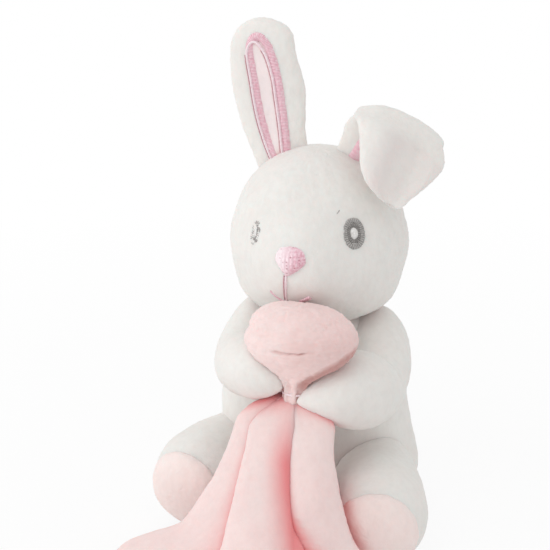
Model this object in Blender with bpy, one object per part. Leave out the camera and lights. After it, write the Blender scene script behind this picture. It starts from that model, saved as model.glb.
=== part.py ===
"""Comfort blanket lovey: a seated plush rabbit that holds the middle of a small pink blanket.

Metres, +Z up. The rabbit faces -Y and its left side is +X. The origin is the middle of the flat seat.
Every stuffed piece is a plush cover with its filling inside, and the pieces meet at their seams.
"""

import math

import bmesh
import bpy
from mathutils import Matrix, Vector

MM = 0.001
DEG = math.radians(1)

# Cloth, thread and clearances
PLUSH = 1.6 * MM
GAP = 0.3 * MM
SECTION_POWER = 0.85
FLOOR_SIZE = 240 * MM
CUT_OVERRUN = 60 * MM

# Body
BODY_HEIGHT = 91 * MM
BODY_WIDTH = 86 * MM
BODY_DEPTH = 68 * MM
SEAT_WIDTH = 52 * MM
BELLY_HEIGHT = 25 * MM
NECK_WIDTH = 34 * MM
BODY_SEGMENTS = 24
BODY_LOWER_RINGS = 3
BODY_UPPER_RINGS = 5

# Head
HEAD_WIDTH = 76 * MM
HEAD_DEPTH = 72 * MM
HEAD_HEIGHT = 76 * MM
HEAD_CENTRE_HEIGHT = 123 * MM
HEAD_FORWARD = 3 * MM
MUZZLE_RISE = 6.5 * MM
MUZZLE_ELEVATION = -8 * DEG
MUZZLE_SPREAD = 27 * DEG
HEAD_SEGMENTS = 24
HEAD_RINGS = 12
HEAD_MOUTH_ANGLE = 16 * DEG

# Face
EYE_AZIMUTH = 35 * DEG
EYE_ELEVATION = 17 * DEG
EYE_WIDTH = 9.8 * MM
EYE_HEIGHT = 13.2 * MM
EYE_RING_WIDTH = 2.1 * MM
EYE_INNER_RING_WIDTH = 1.3 * MM
EYE_THREAD_HEIGHT = 0.6 * MM
NOSE_AZIMUTH = -3.5 * DEG
NOSE_ELEVATION = 2 * DEG
NOSE_WIDTH = 12.5 * MM
NOSE_HEIGHT = 12 * MM
NOSE_RISE = 1.8 * MM
NOSE_TAPER_SHARE = 0.45
MOUTH_DROP = 11.5 * MM
MOUTH_ARC_WIDTH = 7.5 * MM
MOUTH_ARC_RISE = 4.5 * MM
MOUTH_THREAD_WIDTH = 1.5 * MM
MOUTH_THREAD_HEIGHT = 0.7 * MM
BROW_ABOVE_EYE = 10 * MM
BROW_INSET = 6 * MM
BROW_LENGTH = 2.4 * MM
BROW_THREAD_WIDTH = 0.8 * MM

# Ears: the upright one is the rabbit's right ear
EAR_LENGTH = 54 * MM
EAR_WIDTH = 31 * MM
EAR_ROOT_WIDTH = 22 * MM
EAR_ROOT_THICKNESS = 6 * MM
EAR_THICKNESS = 8.6 * MM
EAR_ROOT_FLAT = 1.6 * MM
EAR_AXIS_HEIGHT = 1.2 * MM
EAR_WIDEST_SHARE = 0.52
EAR_TIP_SQUARENESS = 2.3
EAR_TIP_FULLNESS = 3
EAR_SPREAD = 25 * DEG
EAR_BACK = 6 * DEG
EAR_LEAN = 14 * DEG
EAR_SEGMENTS = 16
EAR_RINGS = 9
EAR_LINING_WIDTH = 6.2 * MM
EAR_LINING_THICKNESS = 0.6 * MM
EAR_LINING_START = 2 * MM
EAR_LINING_MARGIN = 9 * MM
EAR_LINING_END_SHARE = 0.8
EAR_LINING_ARCH_SQUARENESS = 6
EAR_STITCH_WIDTH = 3.2 * MM
EAR_STITCH_HEIGHT = 0.9 * MM

# Folded ear: its base leans out from the head, and its flap hangs from the crease
FOLDED_SPREAD = 31 * DEG
FOLD_HEIGHT = 27 * MM
FOLD_SHIFT = 6.5 * MM
FOLD_TURN = -5 * DEG
FOLD_FORWARD = 2 * MM
FOLD_WIDTH = 34 * MM
FLAP_LENGTH = 37 * MM
FLAP_OPEN = 33 * DEG
FLAP_SQUARENESS = 3.2
FLAP_RINGS = 6

# Arms: the left arm's centre line, with its radius at each place
ARM_PLACES = (
    Vector((13, 6, 78)) * MM,
    Vector((26, -3, 80)) * MM,
    Vector((29.5, -15, 72)) * MM,
    Vector((27, -29, 65)) * MM,
    Vector((17, -40, 66)) * MM,
    Vector((9.2, -46, 71)) * MM,
)
ARM_RADII = (10 * MM, 12.5 * MM, 13.5 * MM, 13.5 * MM, 12 * MM, 8.5 * MM)
RIGHT_ARM_RAISE = 3 * MM
ARM_STEPS = 2
ARM_SEGMENTS = 12
PAW_END_RINGS = 2
PAW_TIP_SHARE = 0.16

# Legs
LEG_LENGTH = 41 * MM
FOOT_WIDTH = 42 * MM
FOOT_WIDEST_SHARE = 0.7
SOLE_WIDTH = 34 * MM
SOLE_BULGE = 5 * MM
SOLE_RING_SHARES = (1, 0.8, 0.5, 0.15)
LEG_DROP = 2.5 * MM
FLOOR_CUT = 0.5 * MM
HIP_HEIGHT = FOOT_WIDTH / 2 + LEG_DROP - FLOOR_CUT
HIP_LEFT = Vector((31 * MM, -22 * MM, HIP_HEIGHT))
HIP_RIGHT = Vector((-33 * MM, -8 * MM, HIP_HEIGHT))
HIP_RADIUS = 17 * MM
HIP_ROOM = 1.3 * MM
LEG_LEFT_SPLAY = 10 * DEG
LEG_RIGHT_SPLAY = -18 * DEG
LEG_SWING = 20 * DEG
LEG_SEGMENTS = 16
LEG_RINGS = 5

# Tail
TAIL_WIDTH = 20 * MM
TAIL_HEIGHT = 22 * MM
TAIL_SEGMENTS = 14

# Blanket below the paws: a square held at its middle, in two layers sewn together
BLANKET_SIDE = 200 * MM
BLANKET_LAYER = 1.6 * MM
TUFT_CLOTH = 28 * MM
GRIP = Vector((1.5, -58.5, 62)) * MM
GRIP_WIDTH = 30 * MM
GRIP_DEPTH = 12.5 * MM
SKIRT_FALL = 87 * MM
SKIRT_FALL_POWER = 1.5
SKIRT_LEFT_REACH = 24 * MM
SKIRT_RIGHT_REACH = 44 * MM
SKIRT_FRONT_REACH = 44 * MM
SKIRT_BACK_REACH = 7 * MM
SKIRT_LEAN = 27 * MM
SKIRT_LEAN_POWER = 0.65
SKIRT_FLOOR_ROOM = BLANKET_LAYER + 2 * GAP
FOLD_COUNT = 7
FOLD_PHASE = 10 * DEG
CLOTH_TURN = 15 * DEG
FOLD_DEPTH_TOP = 0.8 * MM
FOLD_DEPTH_HEM = 6.5 * MM
BACK_FOLD_SHARE = 0.25
SKIRT_COLUMNS = 49
SKIRT_ROWS = 8

# Blanket above the paws: the gathered neck and the tuft
BUNDLE_TOP = Vector((1.5, -47, 87)) * MM
BUNDLE_BOTTOM = Vector((1.5, -57.5, 64)) * MM
BUNDLE_TOP_WIDTH = 11 * MM
BUNDLE_BOTTOM_WIDTH = 6.6 * MM
TUFT_CENTRE = Vector((4.5, -53, 95)) * MM
TUFT_WIDTH = 44 * MM
TUFT_DEPTH = 24 * MM
TUFT_HEIGHT = 29 * MM
TUFT_SQUARENESS = 2.6
TUFT_GROOVE_SHARE = 0.1
TUFT_GROOVE_PLACE_SHARES = (0.38, 0.72)
TUFT_GROOVE_SPREAD_SHARE = 0.05
TUFT_SEGMENTS = 20
TUFT_RINGS = 12
THREAD_WIDTH = 1.2 * MM
THREAD_SEGMENTS = 16
THREAD_PLACE_SHARE = 0.5
BUNDLE_SEGMENTS = 12

PLUSH_WHITE = (0.83, 0.82, 0.79)
PLUSH_PINK = (0.90, 0.62, 0.61)
PLUSH_PALE_PINK = (0.86, 0.66, 0.62)
SATIN_PINK = (0.86, 0.42, 0.52)
THREAD_GREY = (0.30, 0.29, 0.28)
THREAD_LIGHT_GREY = (0.44, 0.43, 0.42)
THREAD_WHITE = (0.85, 0.85, 0.85)
FIBRE_WHITE = (0.88, 0.88, 0.86)


def clear_scene():
    for obj in list(bpy.data.objects):
        bpy.data.objects.remove(obj)


def make_material(name, colour, roughness):
    material = bpy.data.materials.new(name)
    material.use_nodes = True
    shader = material.node_tree.nodes["Principled BSDF"]
    shader.inputs["Base Color"].default_value = (*colour, 1)
    shader.inputs["Roughness"].default_value = roughness
    shader.inputs["Metallic"].default_value = 0
    return material


def make_materials():
    return {
        "plush_white": make_material("plush_white", PLUSH_WHITE, 0.95),
        "plush_pink": make_material("plush_pink", PLUSH_PINK, 0.95),
        "plush_pale_pink": make_material("plush_pale_pink", PLUSH_PALE_PINK, 0.95),
        "satin_pink": make_material("satin_pink", SATIN_PINK, 0.45),
        "thread_grey": make_material("thread_grey", THREAD_GREY, 0.5),
        "thread_light_grey": make_material("thread_light_grey", THREAD_LIGHT_GREY, 0.5),
        "thread_white": make_material("thread_white", THREAD_WHITE, 0.5),
        "fibre_white": make_material("fibre_white", FIBRE_WHITE, 1.0),
    }


def add_empty(name, parent, matrix):
    """An empty that stands where its matrix says, in its parent's space."""
    empty = bpy.data.objects.new(name, None)
    bpy.context.scene.collection.objects.link(empty)
    empty.parent = parent
    empty.matrix_local = matrix
    return empty


def add_mesh(name, shape, material=None, parent=None):
    """Makes an object of a bmesh. Without a material it is a cutter, which isn't part of the toy."""
    bmesh.ops.recalc_face_normals(shape, faces=shape.faces)
    mesh = bpy.data.meshes.new(name)
    shape.to_mesh(mesh)
    shape.free()
    mesh.shade_smooth()
    obj = bpy.data.objects.new(name, mesh)
    bpy.context.scene.collection.objects.link(obj)
    obj.parent = parent
    if material is None:
        obj.hide_render = True
        obj.display_type = "WIRE"
    else:
        mesh.materials.append(material)
    return obj


def combine(obj, other, operation="DIFFERENCE"):
    modifier = obj.modifiers.new(operation.lower() + "_" + other.name, "BOOLEAN")
    modifier.operation = operation
    modifier.solver = "EXACT"
    modifier.object = other


def loft(rings):
    """A closed skin through rings of points, with a fan on the first and the last ring."""
    shape = bmesh.new()
    rows = [[shape.verts.new(point) for point in ring] for ring in rings]
    bridge_rows(shape, rows)
    for row, ring in ((rows[0], rings[0]), (rows[-1], rings[-1])):
        centre = shape.verts.new(sum(ring, Vector()) / len(ring))
        for i, vertex in enumerate(row):
            shape.faces.new((centre, vertex, row[(i + 1) % len(row)]))
    return shape


def ring_loft(rings):
    """A skin without ends: the last ring of points joins the first."""
    shape = bmesh.new()
    rows = [[shape.verts.new(point) for point in ring] for ring in rings]
    bridge_rows(shape, rows + rows[:1])
    return shape


def bridge_rows(shape, rows):
    for first, second in zip(rows, rows[1:]):
        for i in range(len(first)):
            j = (i + 1) % len(first)
            shape.faces.new((first[i], first[j], second[j]))
            shape.faces.new((first[i], second[j], second[i]))


def turn(count):
    """The angles of a full turn."""
    return [2 * math.pi * i / count for i in range(count)]


def spaced(first, last, count):
    """Numbers from first to last in equal steps, both ends included."""
    return [first + (last - first) * i / (count - 1) for i in range(count)]


def mix(first, second, share):
    return first + (second - first) * share


def ease(t):
    """Runs smoothly from 0 to 1."""
    t = min(max(t, 0), 1)
    return t * t * (3 - 2 * t)


def signed_power(value, power):
    return math.copysign(abs(value) ** power, value)


def smooth_path(places, steps):
    """Places, or numbers, read along a smooth curve through the given ones."""
    path = []
    for i in range(len(places) - 1):
        before = places[max(i - 1, 0)]
        first, second = places[i], places[i + 1]
        after = places[min(i + 2, len(places) - 1)]
        for step in range(steps):
            t = step / steps
            pull_in = (second - before) * 0.5
            pull_out = (after - first) * 0.5
            start = first * (2 * t**3 - 3 * t**2 + 1) + pull_in * (t**3 - 2 * t**2 + t)
            end = second * (3 * t**2 - 2 * t**3) + pull_out * (t**3 - t**2)
            path.append(start + end)
    path.append(places[-1])
    return path


def sausage_rings(places, radii, segments, grow, end_rings):
    """Rings round a smooth centre line, from its first place to a round end past its last."""
    across = Vector((0, 0, 1))
    rings = []
    for i, (place, radius) in enumerate(zip(places, radii)):
        along = (places[min(i + 1, len(places) - 1)] - places[max(i - 1, 0)]).normalized()
        side = along.cross(across).normalized()
        up = side.cross(along)
        reach = radius + grow
        rings.append([place + (side * math.cos(a) + up * math.sin(a)) * reach for a in turn(segments)])
    for angle in spaced(0, math.pi / 2, end_rings + 2)[1:-1]:
        place = places[-1] + along * (reach * math.sin(angle))
        small = reach * math.cos(angle)
        rings.append([place + (side * math.cos(a) + up * math.sin(a)) * small for a in turn(segments)])
    small = reach * PAW_TIP_SHARE
    tip = places[-1] + along * math.sqrt(reach * reach - small * small)
    rings.append([tip + (side * math.cos(a) + up * math.sin(a)) * small for a in turn(segments)])
    return rings


# The body is a turned profile, a little flatter from front to back.


def body_profile(inset):
    """(radius, height) along the body's outline from the seat's edge to the neck, moved in by inset."""
    seat, belly, neck = SEAT_WIDTH / 2, BODY_WIDTH / 2, NECK_WIDTH / 2
    outline = []
    for angle in spaced(0, math.pi / 2, BODY_LOWER_RINGS + 1):
        radius = mix(seat, belly, math.sin(angle))
        outline.append(Vector((radius, BELLY_HEIGHT * (1 - math.cos(angle)))))
    for angle in spaced(0, math.pi / 2, BODY_UPPER_RINGS + 1)[1:]:
        radius = mix(neck, belly, math.cos(angle))
        outline.append(Vector((radius, mix(BELLY_HEIGHT, BODY_HEIGHT, math.sin(angle)))))
    moved = []
    for i, point in enumerate(outline):
        before = outline[max(i - 1, 0)]
        after = outline[min(i + 1, len(outline) - 1)]
        along = (after - before).normalized()
        moved.append(point + Vector((-along.y, along.x)) * inset)
    return moved


def body_rings(inset, bottom, top):
    """Rings of the body from its seat, at height bottom, to its neck, at height top."""
    profile = body_profile(inset)
    profile[0].y = bottom
    profile[-1].y = top
    rings = []
    for radius, height in profile:
        flat = radius * BODY_DEPTH / BODY_WIDTH
        ring = [Vector((radius * math.cos(a), flat * math.sin(a), height)) for a in turn(BODY_SEGMENTS)]
        rings.append(ring)
    return rings


def build_body(materials, root):
    outer = body_rings(0, 0, BODY_HEIGHT)
    inner = body_rings(PLUSH, PLUSH, BODY_HEIGHT)
    cover = add_mesh("body_cover", loft(outer + inner[::-1]), materials["plush_white"], root)
    core = loft(body_rings(PLUSH + GAP, PLUSH + GAP, BODY_HEIGHT))
    filling = add_mesh("body_filling", core, materials["fibre_white"], root)
    form = add_mesh("body_form", loft(body_rings(-GAP, -GAP, BODY_HEIGHT + GAP)), None, root)
    return cover, filling, form


# The head is a rounded form about its own centre, with a muzzle in front.


def direction_at(azimuth, elevation):
    """A unit vector. Azimuth 0 is straight ahead, and it grows towards the rabbit's left."""
    flat = math.cos(elevation)
    return Vector((math.sin(azimuth) * flat, -math.cos(azimuth) * flat, math.sin(elevation)))


def head_radius(direction):
    scaled = Vector((direction.x / HEAD_WIDTH, direction.y / HEAD_DEPTH, direction.z / HEAD_HEIGHT)) * 2
    muzzle = direction_at(0, MUZZLE_ELEVATION)
    away = math.acos(max(min(direction.dot(muzzle), 1), -1)) / MUZZLE_SPREAD
    return 1 / scaled.length + MUZZLE_RISE * math.exp(-away * away)


def head_point(azimuth, elevation, lift):
    direction = direction_at(azimuth, elevation)
    return direction * (head_radius(direction) + lift)


def head_elevations():
    """Elevations of the head's rings, from near the crown down to the edge of its mouth."""
    return spaced(math.pi / 2, HEAD_MOUTH_ANGLE - math.pi / 2, HEAD_RINGS + 1)[1:]


def head_rings(lift):
    return [[head_point(a, e, lift) for a in turn(HEAD_SEGMENTS)] for e in head_elevations()]


def head_sweep():
    """The space that the head needs as it turns on the neck."""
    rings = []
    for elevation in head_elevations():
        reach = max(head_point(a, elevation, GAP).xy.length for a in turn(HEAD_SEGMENTS))
        height = head_point(0, elevation, GAP).z
        rings.append([Vector((math.cos(a), math.sin(a), 0)) * reach for a in turn(HEAD_SEGMENTS)])
        for point in rings[-1]:
            point.z = height
    return loft(rings)


def below_neck():
    """Everything under the neck seam, where the head ends on the body."""
    size = CUT_OVERRUN
    corners = ((-size, -size), (size, -size), (size, size), (-size, size))
    return loft([[Vector((x, y, z)) for x, y in corners] for z in (0, BODY_HEIGHT + GAP)])


def build_head(materials, root, head):
    outer, inner = head_rings(0), head_rings(-PLUSH)
    cover = add_mesh("head_cover", loft(outer + inner[::-1]), materials["plush_white"], head)
    filling = add_mesh("head_filling", loft(head_rings(-PLUSH - 2 * GAP)), materials["fibre_white"], head)
    under = add_mesh("below_neck", below_neck(), None, root)
    combine(cover, under)
    combine(filling, under)
    return cover, add_mesh("head_sweep", head_sweep(), None, head)


# Embroidery lies on a curved face: a function of right, up and lift, all lengths, that gives a point.


def face_of_head(azimuth, elevation):
    radius = head_radius(direction_at(azimuth, elevation))

    def face(right, up, lift):
        side = right / (radius * math.cos(elevation))
        return head_point(azimuth + side, elevation + up / radius, lift)

    return face


def bead_rings(face, path, width, height, looped):
    """Half-round rings of thread along a path of (right, up) places, flat side down on the face."""
    count = len(path)
    rings = []
    for i, place in enumerate(path):
        before = path[i - 1] if looped or i > 0 else place
        after = path[(i + 1) % count] if looped or i < count - 1 else place
        along = Vector((after[0] - before[0], after[1] - before[1])).normalized()
        across = Vector((along.y, -along.x)) * (width / 2)
        ring = []
        for angle in spaced(0, math.pi, 5):
            spot = Vector(place) + across * math.cos(angle)
            ring.append(face(spot.x, spot.y, GAP + height * math.sin(angle)))
        rings.append(ring)
    return rings


def oval(width, height, count):
    return [(math.cos(a) * width / 2, math.sin(a) * height / 2) for a in turn(count)]


def dome(face, outline, rise, ring_count):
    """A low dome over an outline of (right, up) places, flat side down on the face."""
    top, flat = [], []
    for share in spaced(0, 1, ring_count + 1)[1:]:
        lift = GAP + rise * math.sqrt(1 - share * share)
        top.append([face(x * share, y * share, lift) for x, y in outline])
        flat.append([face(x * share, y * share, GAP) for x, y in outline])
    return loft(top[:-1] + flat[::-1])


def build_eye(side, name, materials, head):
    face = face_of_head(side * EYE_AZIMUTH, EYE_ELEVATION)
    width, height = EYE_WIDTH - EYE_RING_WIDTH, EYE_HEIGHT - EYE_RING_WIDTH
    outer = bead_rings(face, oval(width, height, 20), EYE_RING_WIDTH, EYE_THREAD_HEIGHT, True)
    add_mesh(name + "_outer_ring", ring_loft(outer), materials["thread_light_grey"], head)
    step = EYE_RING_WIDTH + EYE_INNER_RING_WIDTH + 2 * GAP
    inner_path = oval(width - step, height - step, 16)
    inner = bead_rings(face, inner_path, EYE_INNER_RING_WIDTH, EYE_THREAD_HEIGHT, True)
    add_mesh(name + "_inner_ring", ring_loft(inner), materials["thread_grey"], head)
    inset = step + EYE_INNER_RING_WIDTH + 2 * GAP
    light = oval(width - inset, height - inset, 10)
    add_mesh(name + "_highlight", dome(face, light, EYE_THREAD_HEIGHT, 2), materials["thread_white"], head)


def nose_outline():
    """A rounded triangle that narrows towards the mouth."""
    outline = []
    for right, up in oval(NOSE_WIDTH, NOSE_HEIGHT, 16):
        low = max(-2 * up / NOSE_HEIGHT, 0)
        outline.append((right * (1 - NOSE_TAPER_SHARE * low), up))
    return outline


def build_nose_and_mouth(materials, head):
    face = face_of_head(NOSE_AZIMUTH, NOSE_ELEVATION)
    satin = materials["satin_pink"]
    add_mesh("nose", dome(face, nose_outline(), NOSE_RISE, 4), satin, head)
    top = -NOSE_HEIGHT / 2 - 2 * GAP
    bottom = top - MOUTH_DROP
    line = [(0, up) for up in spaced(top, bottom, 5)]
    rings = bead_rings(face, line, MOUTH_THREAD_WIDTH, MOUTH_THREAD_HEIGHT, False)
    add_mesh("mouth_line", loft(rings), satin, head)
    start = MOUTH_THREAD_WIDTH / 2 + 2 * GAP
    for side, name in ((1, "mouth_left_arc"), (-1, "mouth_right_arc")):
        arc = []
        for t in spaced(0, 1, 6):
            arc.append((side * (start + t * MOUTH_ARC_WIDTH), bottom + MOUTH_ARC_RISE * t * t))
        rings = bead_rings(face, arc, MOUTH_THREAD_WIDTH, MOUTH_THREAD_HEIGHT, False)
        add_mesh(name, loft(rings), satin, head)


def build_brow(materials, head):
    """A short tacking stitch above the left eye."""
    face = face_of_head(EYE_AZIMUTH, EYE_ELEVATION)
    start = Vector((-BROW_INSET, BROW_ABOVE_EYE))
    step = Vector((1, 1)).normalized() * BROW_LENGTH
    path = [tuple(start + step * t) for t in spaced(0, 1, 3)]
    rings = bead_rings(face, path, BROW_THREAD_WIDTH, MOUTH_THREAD_HEIGHT, False)
    add_mesh("brow_stitch", loft(rings), materials["thread_grey"], head)


# An ear stands along its own +Z on its root's axis, which is its own X. Its inner side faces -Y.


def seat_on_head(spread, back, lean):
    """A frame on the head's top: its origin is the axis that an ear bends about."""
    direction = Vector((math.sin(spread), math.sin(back), math.cos(spread))).normalized()
    place = direction * (head_radius(direction) + EAR_AXIS_HEIGHT)
    return Matrix.Translation(place) @ Matrix.Rotation(lean, 4, "Y")


def ear_half_width(up):
    root, widest = EAR_ROOT_WIDTH / 2, EAR_WIDTH / 2
    shoulder = EAR_LENGTH * EAR_WIDEST_SHARE
    if up < shoulder:
        return mix(root, widest, ease(up / shoulder))
    t = min((up - shoulder) / (EAR_LENGTH - shoulder), 1)
    return widest * math.sqrt(1 - t**EAR_TIP_SQUARENESS)


def ear_half_thickness(up):
    root, full = EAR_ROOT_THICKNESS / 2, EAR_THICKNESS / 2
    shoulder = EAR_LENGTH * EAR_WIDEST_SHARE
    if up < 0:
        return math.sqrt(root * root - up * up)
    if up < shoulder:
        return mix(root, full, ease(up / shoulder))
    t = min((up - shoulder) / (EAR_LENGTH - shoulder), 1)
    return full * math.sqrt(1 - t**EAR_TIP_FULLNESS)


def slab_ring(centre, across, half_width, half_thickness, segments):
    """A rounded flat section, wide along the direction across and thin along Y."""
    ring = []
    for angle in turn(segments):
        side = signed_power(math.cos(angle), SECTION_POWER) * half_width
        deep = signed_power(math.sin(angle), SECTION_POWER) * half_thickness
        ring.append(centre + across * side + Vector((0, deep, 0)))
    return ring


def ear_rings(inset, low):
    """Sections of the upright ear from height low to its tip, moved inwards by inset."""
    rings = []
    for t in spaced(0, 1, EAR_RINGS + 1):
        up = mix(low, EAR_LENGTH - inset - GAP, math.sin(t * math.pi / 2))
        width = max(ear_half_width(up) - inset, GAP)
        thickness = max(ear_half_thickness(up) - inset, GAP)
        rings.append(slab_ring(Vector((0, 0, up)), Vector((1, 0, 0)), width, thickness, EAR_SEGMENTS))
    return rings


def root_groove():
    """The groove in the head that an ear's root turns in."""
    reach = EAR_ROOT_THICKNESS / 2 + GAP
    end = EAR_ROOT_WIDTH / 2 + GAP
    rings = []
    for x in (-end, end):
        rings.append([Vector((x, reach * math.cos(a), reach * math.sin(a))) for a in turn(EAR_SEGMENTS)])
    return loft(rings)


def ear_face(right, up, lift):
    """A point on the ear's inner side."""
    side = min(abs(right) / ear_half_width(up), 1)
    deep = ear_half_thickness(up) * (1 - side ** (2 / SECTION_POWER)) ** (SECTION_POWER / 2)
    return Vector((right, -deep - lift, up))


def lining_top():
    return EAR_LENGTH - EAR_LINING_MARGIN


def lining_half_width(up):
    """The lining keeps its width and then closes in a pointed arch."""
    t = max(up / lining_top(), 0)
    swell = mix(EAR_LINING_END_SHARE, 1, math.sin(math.pi * t))
    return EAR_LINING_WIDTH / 2 * swell * math.sqrt(max(1 - t**EAR_LINING_ARCH_SQUARENESS, 0))


def lining_strip(low, high, count):
    rings = []
    for up in spaced(low, high, count):
        half = max(lining_half_width(up) - GAP, GAP)
        across = spaced(-half, half, 4)
        over = [ear_face(x, up, GAP + EAR_LINING_THICKNESS) for x in across]
        under = [ear_face(x, up, GAP) for x in reversed(across)]
        rings.append(over + under)
    return loft(rings)


def border_side(low, high, count):
    """The middle of the satin border along one side of the lining."""
    right_side = []
    for t in spaced(0, 1, count):
        up = mix(low, high, math.sin(t * math.pi / 2))
        out = lining_half_width(up) + EAR_STITCH_WIDTH / 2
        right_side.append((out, up))
    return right_side


def build_upright_ear(materials, head, head_cover):
    ear = add_empty("ear_upright_root", head, seat_on_head(-EAR_SPREAD, EAR_BACK, -EAR_LEAN))
    outer = ear_rings(0, -EAR_ROOT_FLAT)
    inner = ear_rings(PLUSH, -EAR_ROOT_FLAT)
    shape = loft(outer[::-1] + inner)
    add_mesh("ear_upright_cover", shape, materials["plush_white"], ear)
    core = ear_rings(PLUSH + GAP, EAR_ROOT_FLAT)
    add_mesh("ear_upright_filling", loft(core), materials["fibre_white"], ear)
    strip = lining_strip(EAR_LINING_START, lining_top() - EAR_STITCH_WIDTH / 2, 8)
    add_mesh("ear_upright_lining", strip, materials["plush_pale_pink"], ear)
    side = border_side(EAR_LINING_START, lining_top(), 8)
    path = [(-x, up) for x, up in side] + side[-2::-1]
    path[len(side) - 1] = (0, lining_top() + EAR_STITCH_WIDTH / 2)
    rings = bead_rings(ear_face, path, EAR_STITCH_WIDTH, EAR_STITCH_HEIGHT, False)
    add_mesh("ear_upright_border", loft(rings), materials["satin_pink"], ear)
    combine(head_cover, add_mesh("ear_upright_groove", root_groove(), None, ear))


def base_ring(up, half_width, half_thickness):
    """A section of the folded ear's base, which shifts and turns from the root to the crease."""
    share = up / FOLD_HEIGHT
    centre = Vector((FOLD_SHIFT, -FOLD_FORWARD, FOLD_HEIGHT)) * share
    across = Matrix.Rotation(FOLD_TURN * share, 3, "Y") @ Vector((1, 0, 0))
    return slab_ring(centre, across, half_width, half_thickness, EAR_SEGMENTS)


def fold_round_start():
    """The height where the base starts to round off into its top edge."""
    return FOLD_HEIGHT - EAR_THICKNESS / 2


def base_rings(inset, low):
    """Sections from the root to the crease, where the base ends in a round edge."""
    thin, thick = EAR_ROOT_THICKNESS / 2, EAR_THICKNESS / 2
    round_start = fold_round_start()
    rings = []
    for up in spaced(low, round_start, 5):
        widening = math.sin(max(up, 0) / round_start * math.pi / 2)
        half_width = mix(EAR_ROOT_WIDTH, FOLD_WIDTH, widening) / 2
        thickness = math.sqrt(thin * thin - up * up) if up < 0 else mix(thin, thick, up / round_start)
        rings.append(base_ring(up, half_width - inset, thickness - inset))
    for angle in spaced(0, math.pi / 2, 4)[1:]:
        up = round_start + (thick - inset) * math.sin(angle)
        thickness = max((thick - inset) * math.cos(angle), GAP)
        rings.append(base_ring(up, FOLD_WIDTH / 2 - inset - (thick - inset - thickness), thickness))
    return rings


def base_face(right, up, lift):
    """A point on the inner side of the folded ear's base, below the crease."""
    thick = mix(EAR_ROOT_THICKNESS, EAR_THICKNESS, up / FOLD_HEIGHT) / 2
    share = up / FOLD_HEIGHT
    return Vector((right + FOLD_SHIFT * share, -thick - lift - FOLD_FORWARD * share, up))


def crease_frame():
    """A frame on the crease: X runs along it, and the flap hangs along -Z, tipped forwards."""
    middle = Vector((FOLD_SHIFT, -FOLD_FORWARD, FOLD_HEIGHT)) * (fold_round_start() / FOLD_HEIGHT)
    reach = EAR_THICKNESS / 2 + GAP
    place = middle + Vector((0, -math.cos(FLAP_OPEN), math.sin(FLAP_OPEN))) * reach
    turned = Matrix.Rotation(FOLD_TURN, 4, "Y")
    return Matrix.Translation(place) @ turned @ Matrix.Rotation(-FLAP_OPEN, 4, "X")


def flap_rings(inset, round_top):
    """Sections of the flap from the crease to its round tip. The crease axis is on its back side."""
    thick = EAR_THICKNESS / 2
    rings = []
    if round_top:
        for angle in spaced(math.pi / 2, 0, 4)[:-1]:
            drop = thick - (thick - inset) * math.sin(angle)
            thickness = max((thick - inset) * math.cos(angle), GAP)
            rings.append(flap_ring(drop, FOLD_WIDTH / 2 - (thick - thickness), thickness))
    start = thick if round_top else 0
    for t in spaced(0, 1, FLAP_RINGS + 1):
        drop = mix(start, FLAP_LENGTH - inset - GAP, math.sin(t * math.pi / 2))
        narrowing = (1 - (drop / FLAP_LENGTH) ** 2) ** (1 / FLAP_SQUARENESS)
        half_width = max(FOLD_WIDTH / 2 * narrowing - inset, GAP)
        rings.append(flap_ring(drop, half_width, max(thick * narrowing - inset, GAP)))
    return rings


def flap_ring(drop, half_width, half_thickness):
    centre = Vector((0, -EAR_THICKNESS / 2, -drop))
    return slab_ring(centre, Vector((1, 0, 0)), half_width, half_thickness, EAR_SEGMENTS)


def build_folded_ear(materials, head, head_cover):
    white, fibre = materials["plush_white"], materials["fibre_white"]
    base = add_empty("ear_folded_root", head, seat_on_head(FOLDED_SPREAD, 0, FOLDED_SPREAD))
    outer, inner = base_rings(0, -EAR_ROOT_FLAT), base_rings(PLUSH, -EAR_ROOT_FLAT)
    add_mesh("ear_folded_cover", loft(outer[::-1] + inner), white, base)
    add_mesh("ear_folded_filling", loft(base_rings(PLUSH + GAP, EAR_ROOT_FLAT)), fibre, base)
    combine(head_cover, add_mesh("ear_folded_groove", root_groove(), None, base))
    build_folded_lining(materials, base)
    flap = add_empty("ear_folded_crease", base, crease_frame())
    shape = loft(flap_rings(0, False)[::-1] + flap_rings(PLUSH, False))
    add_mesh("ear_flap_cover", shape, white, flap)
    add_mesh("ear_flap_filling", loft(flap_rings(PLUSH + GAP, True)), fibre, flap)


def build_folded_lining(materials, base):
    """The part of the lining, with its border, that shows below the crease."""
    low, high = EAR_LINING_START, FOLD_HEIGHT / 2
    half = EAR_LINING_WIDTH / 2
    rings = []
    for up in spaced(low, high, 3):
        across = spaced(-half + GAP, half - GAP, 3)
        over = [base_face(x, up, GAP + EAR_LINING_THICKNESS) for x in across]
        rings.append(over + [base_face(x, up, GAP) for x in reversed(across)])
    add_mesh("ear_folded_lining", loft(rings), materials["plush_pale_pink"], base)
    for side, name in ((-1, "ear_folded_border_inner"), (1, "ear_folded_border_outer")):
        out = side * (half + EAR_STITCH_WIDTH / 2)
        path = [(out, up) for up in spaced(low, high, 3)]
        shape = loft(bead_rings(base_face, path, EAR_STITCH_WIDTH, EAR_STITCH_HEIGHT, False))
        add_mesh(name, shape, materials["satin_pink"], base)


# Arms and legs


def arm_rings(side, grow):
    lift = Vector((0, 0, RIGHT_ARM_RAISE if side < 0 else 0))
    places = [Vector((p.x * side, p.y, p.z)) + lift for p in smooth_path(ARM_PLACES, ARM_STEPS)]
    return sausage_rings(places, smooth_path(ARM_RADII, ARM_STEPS), ARM_SEGMENTS, grow, PAW_END_RINGS)


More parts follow.
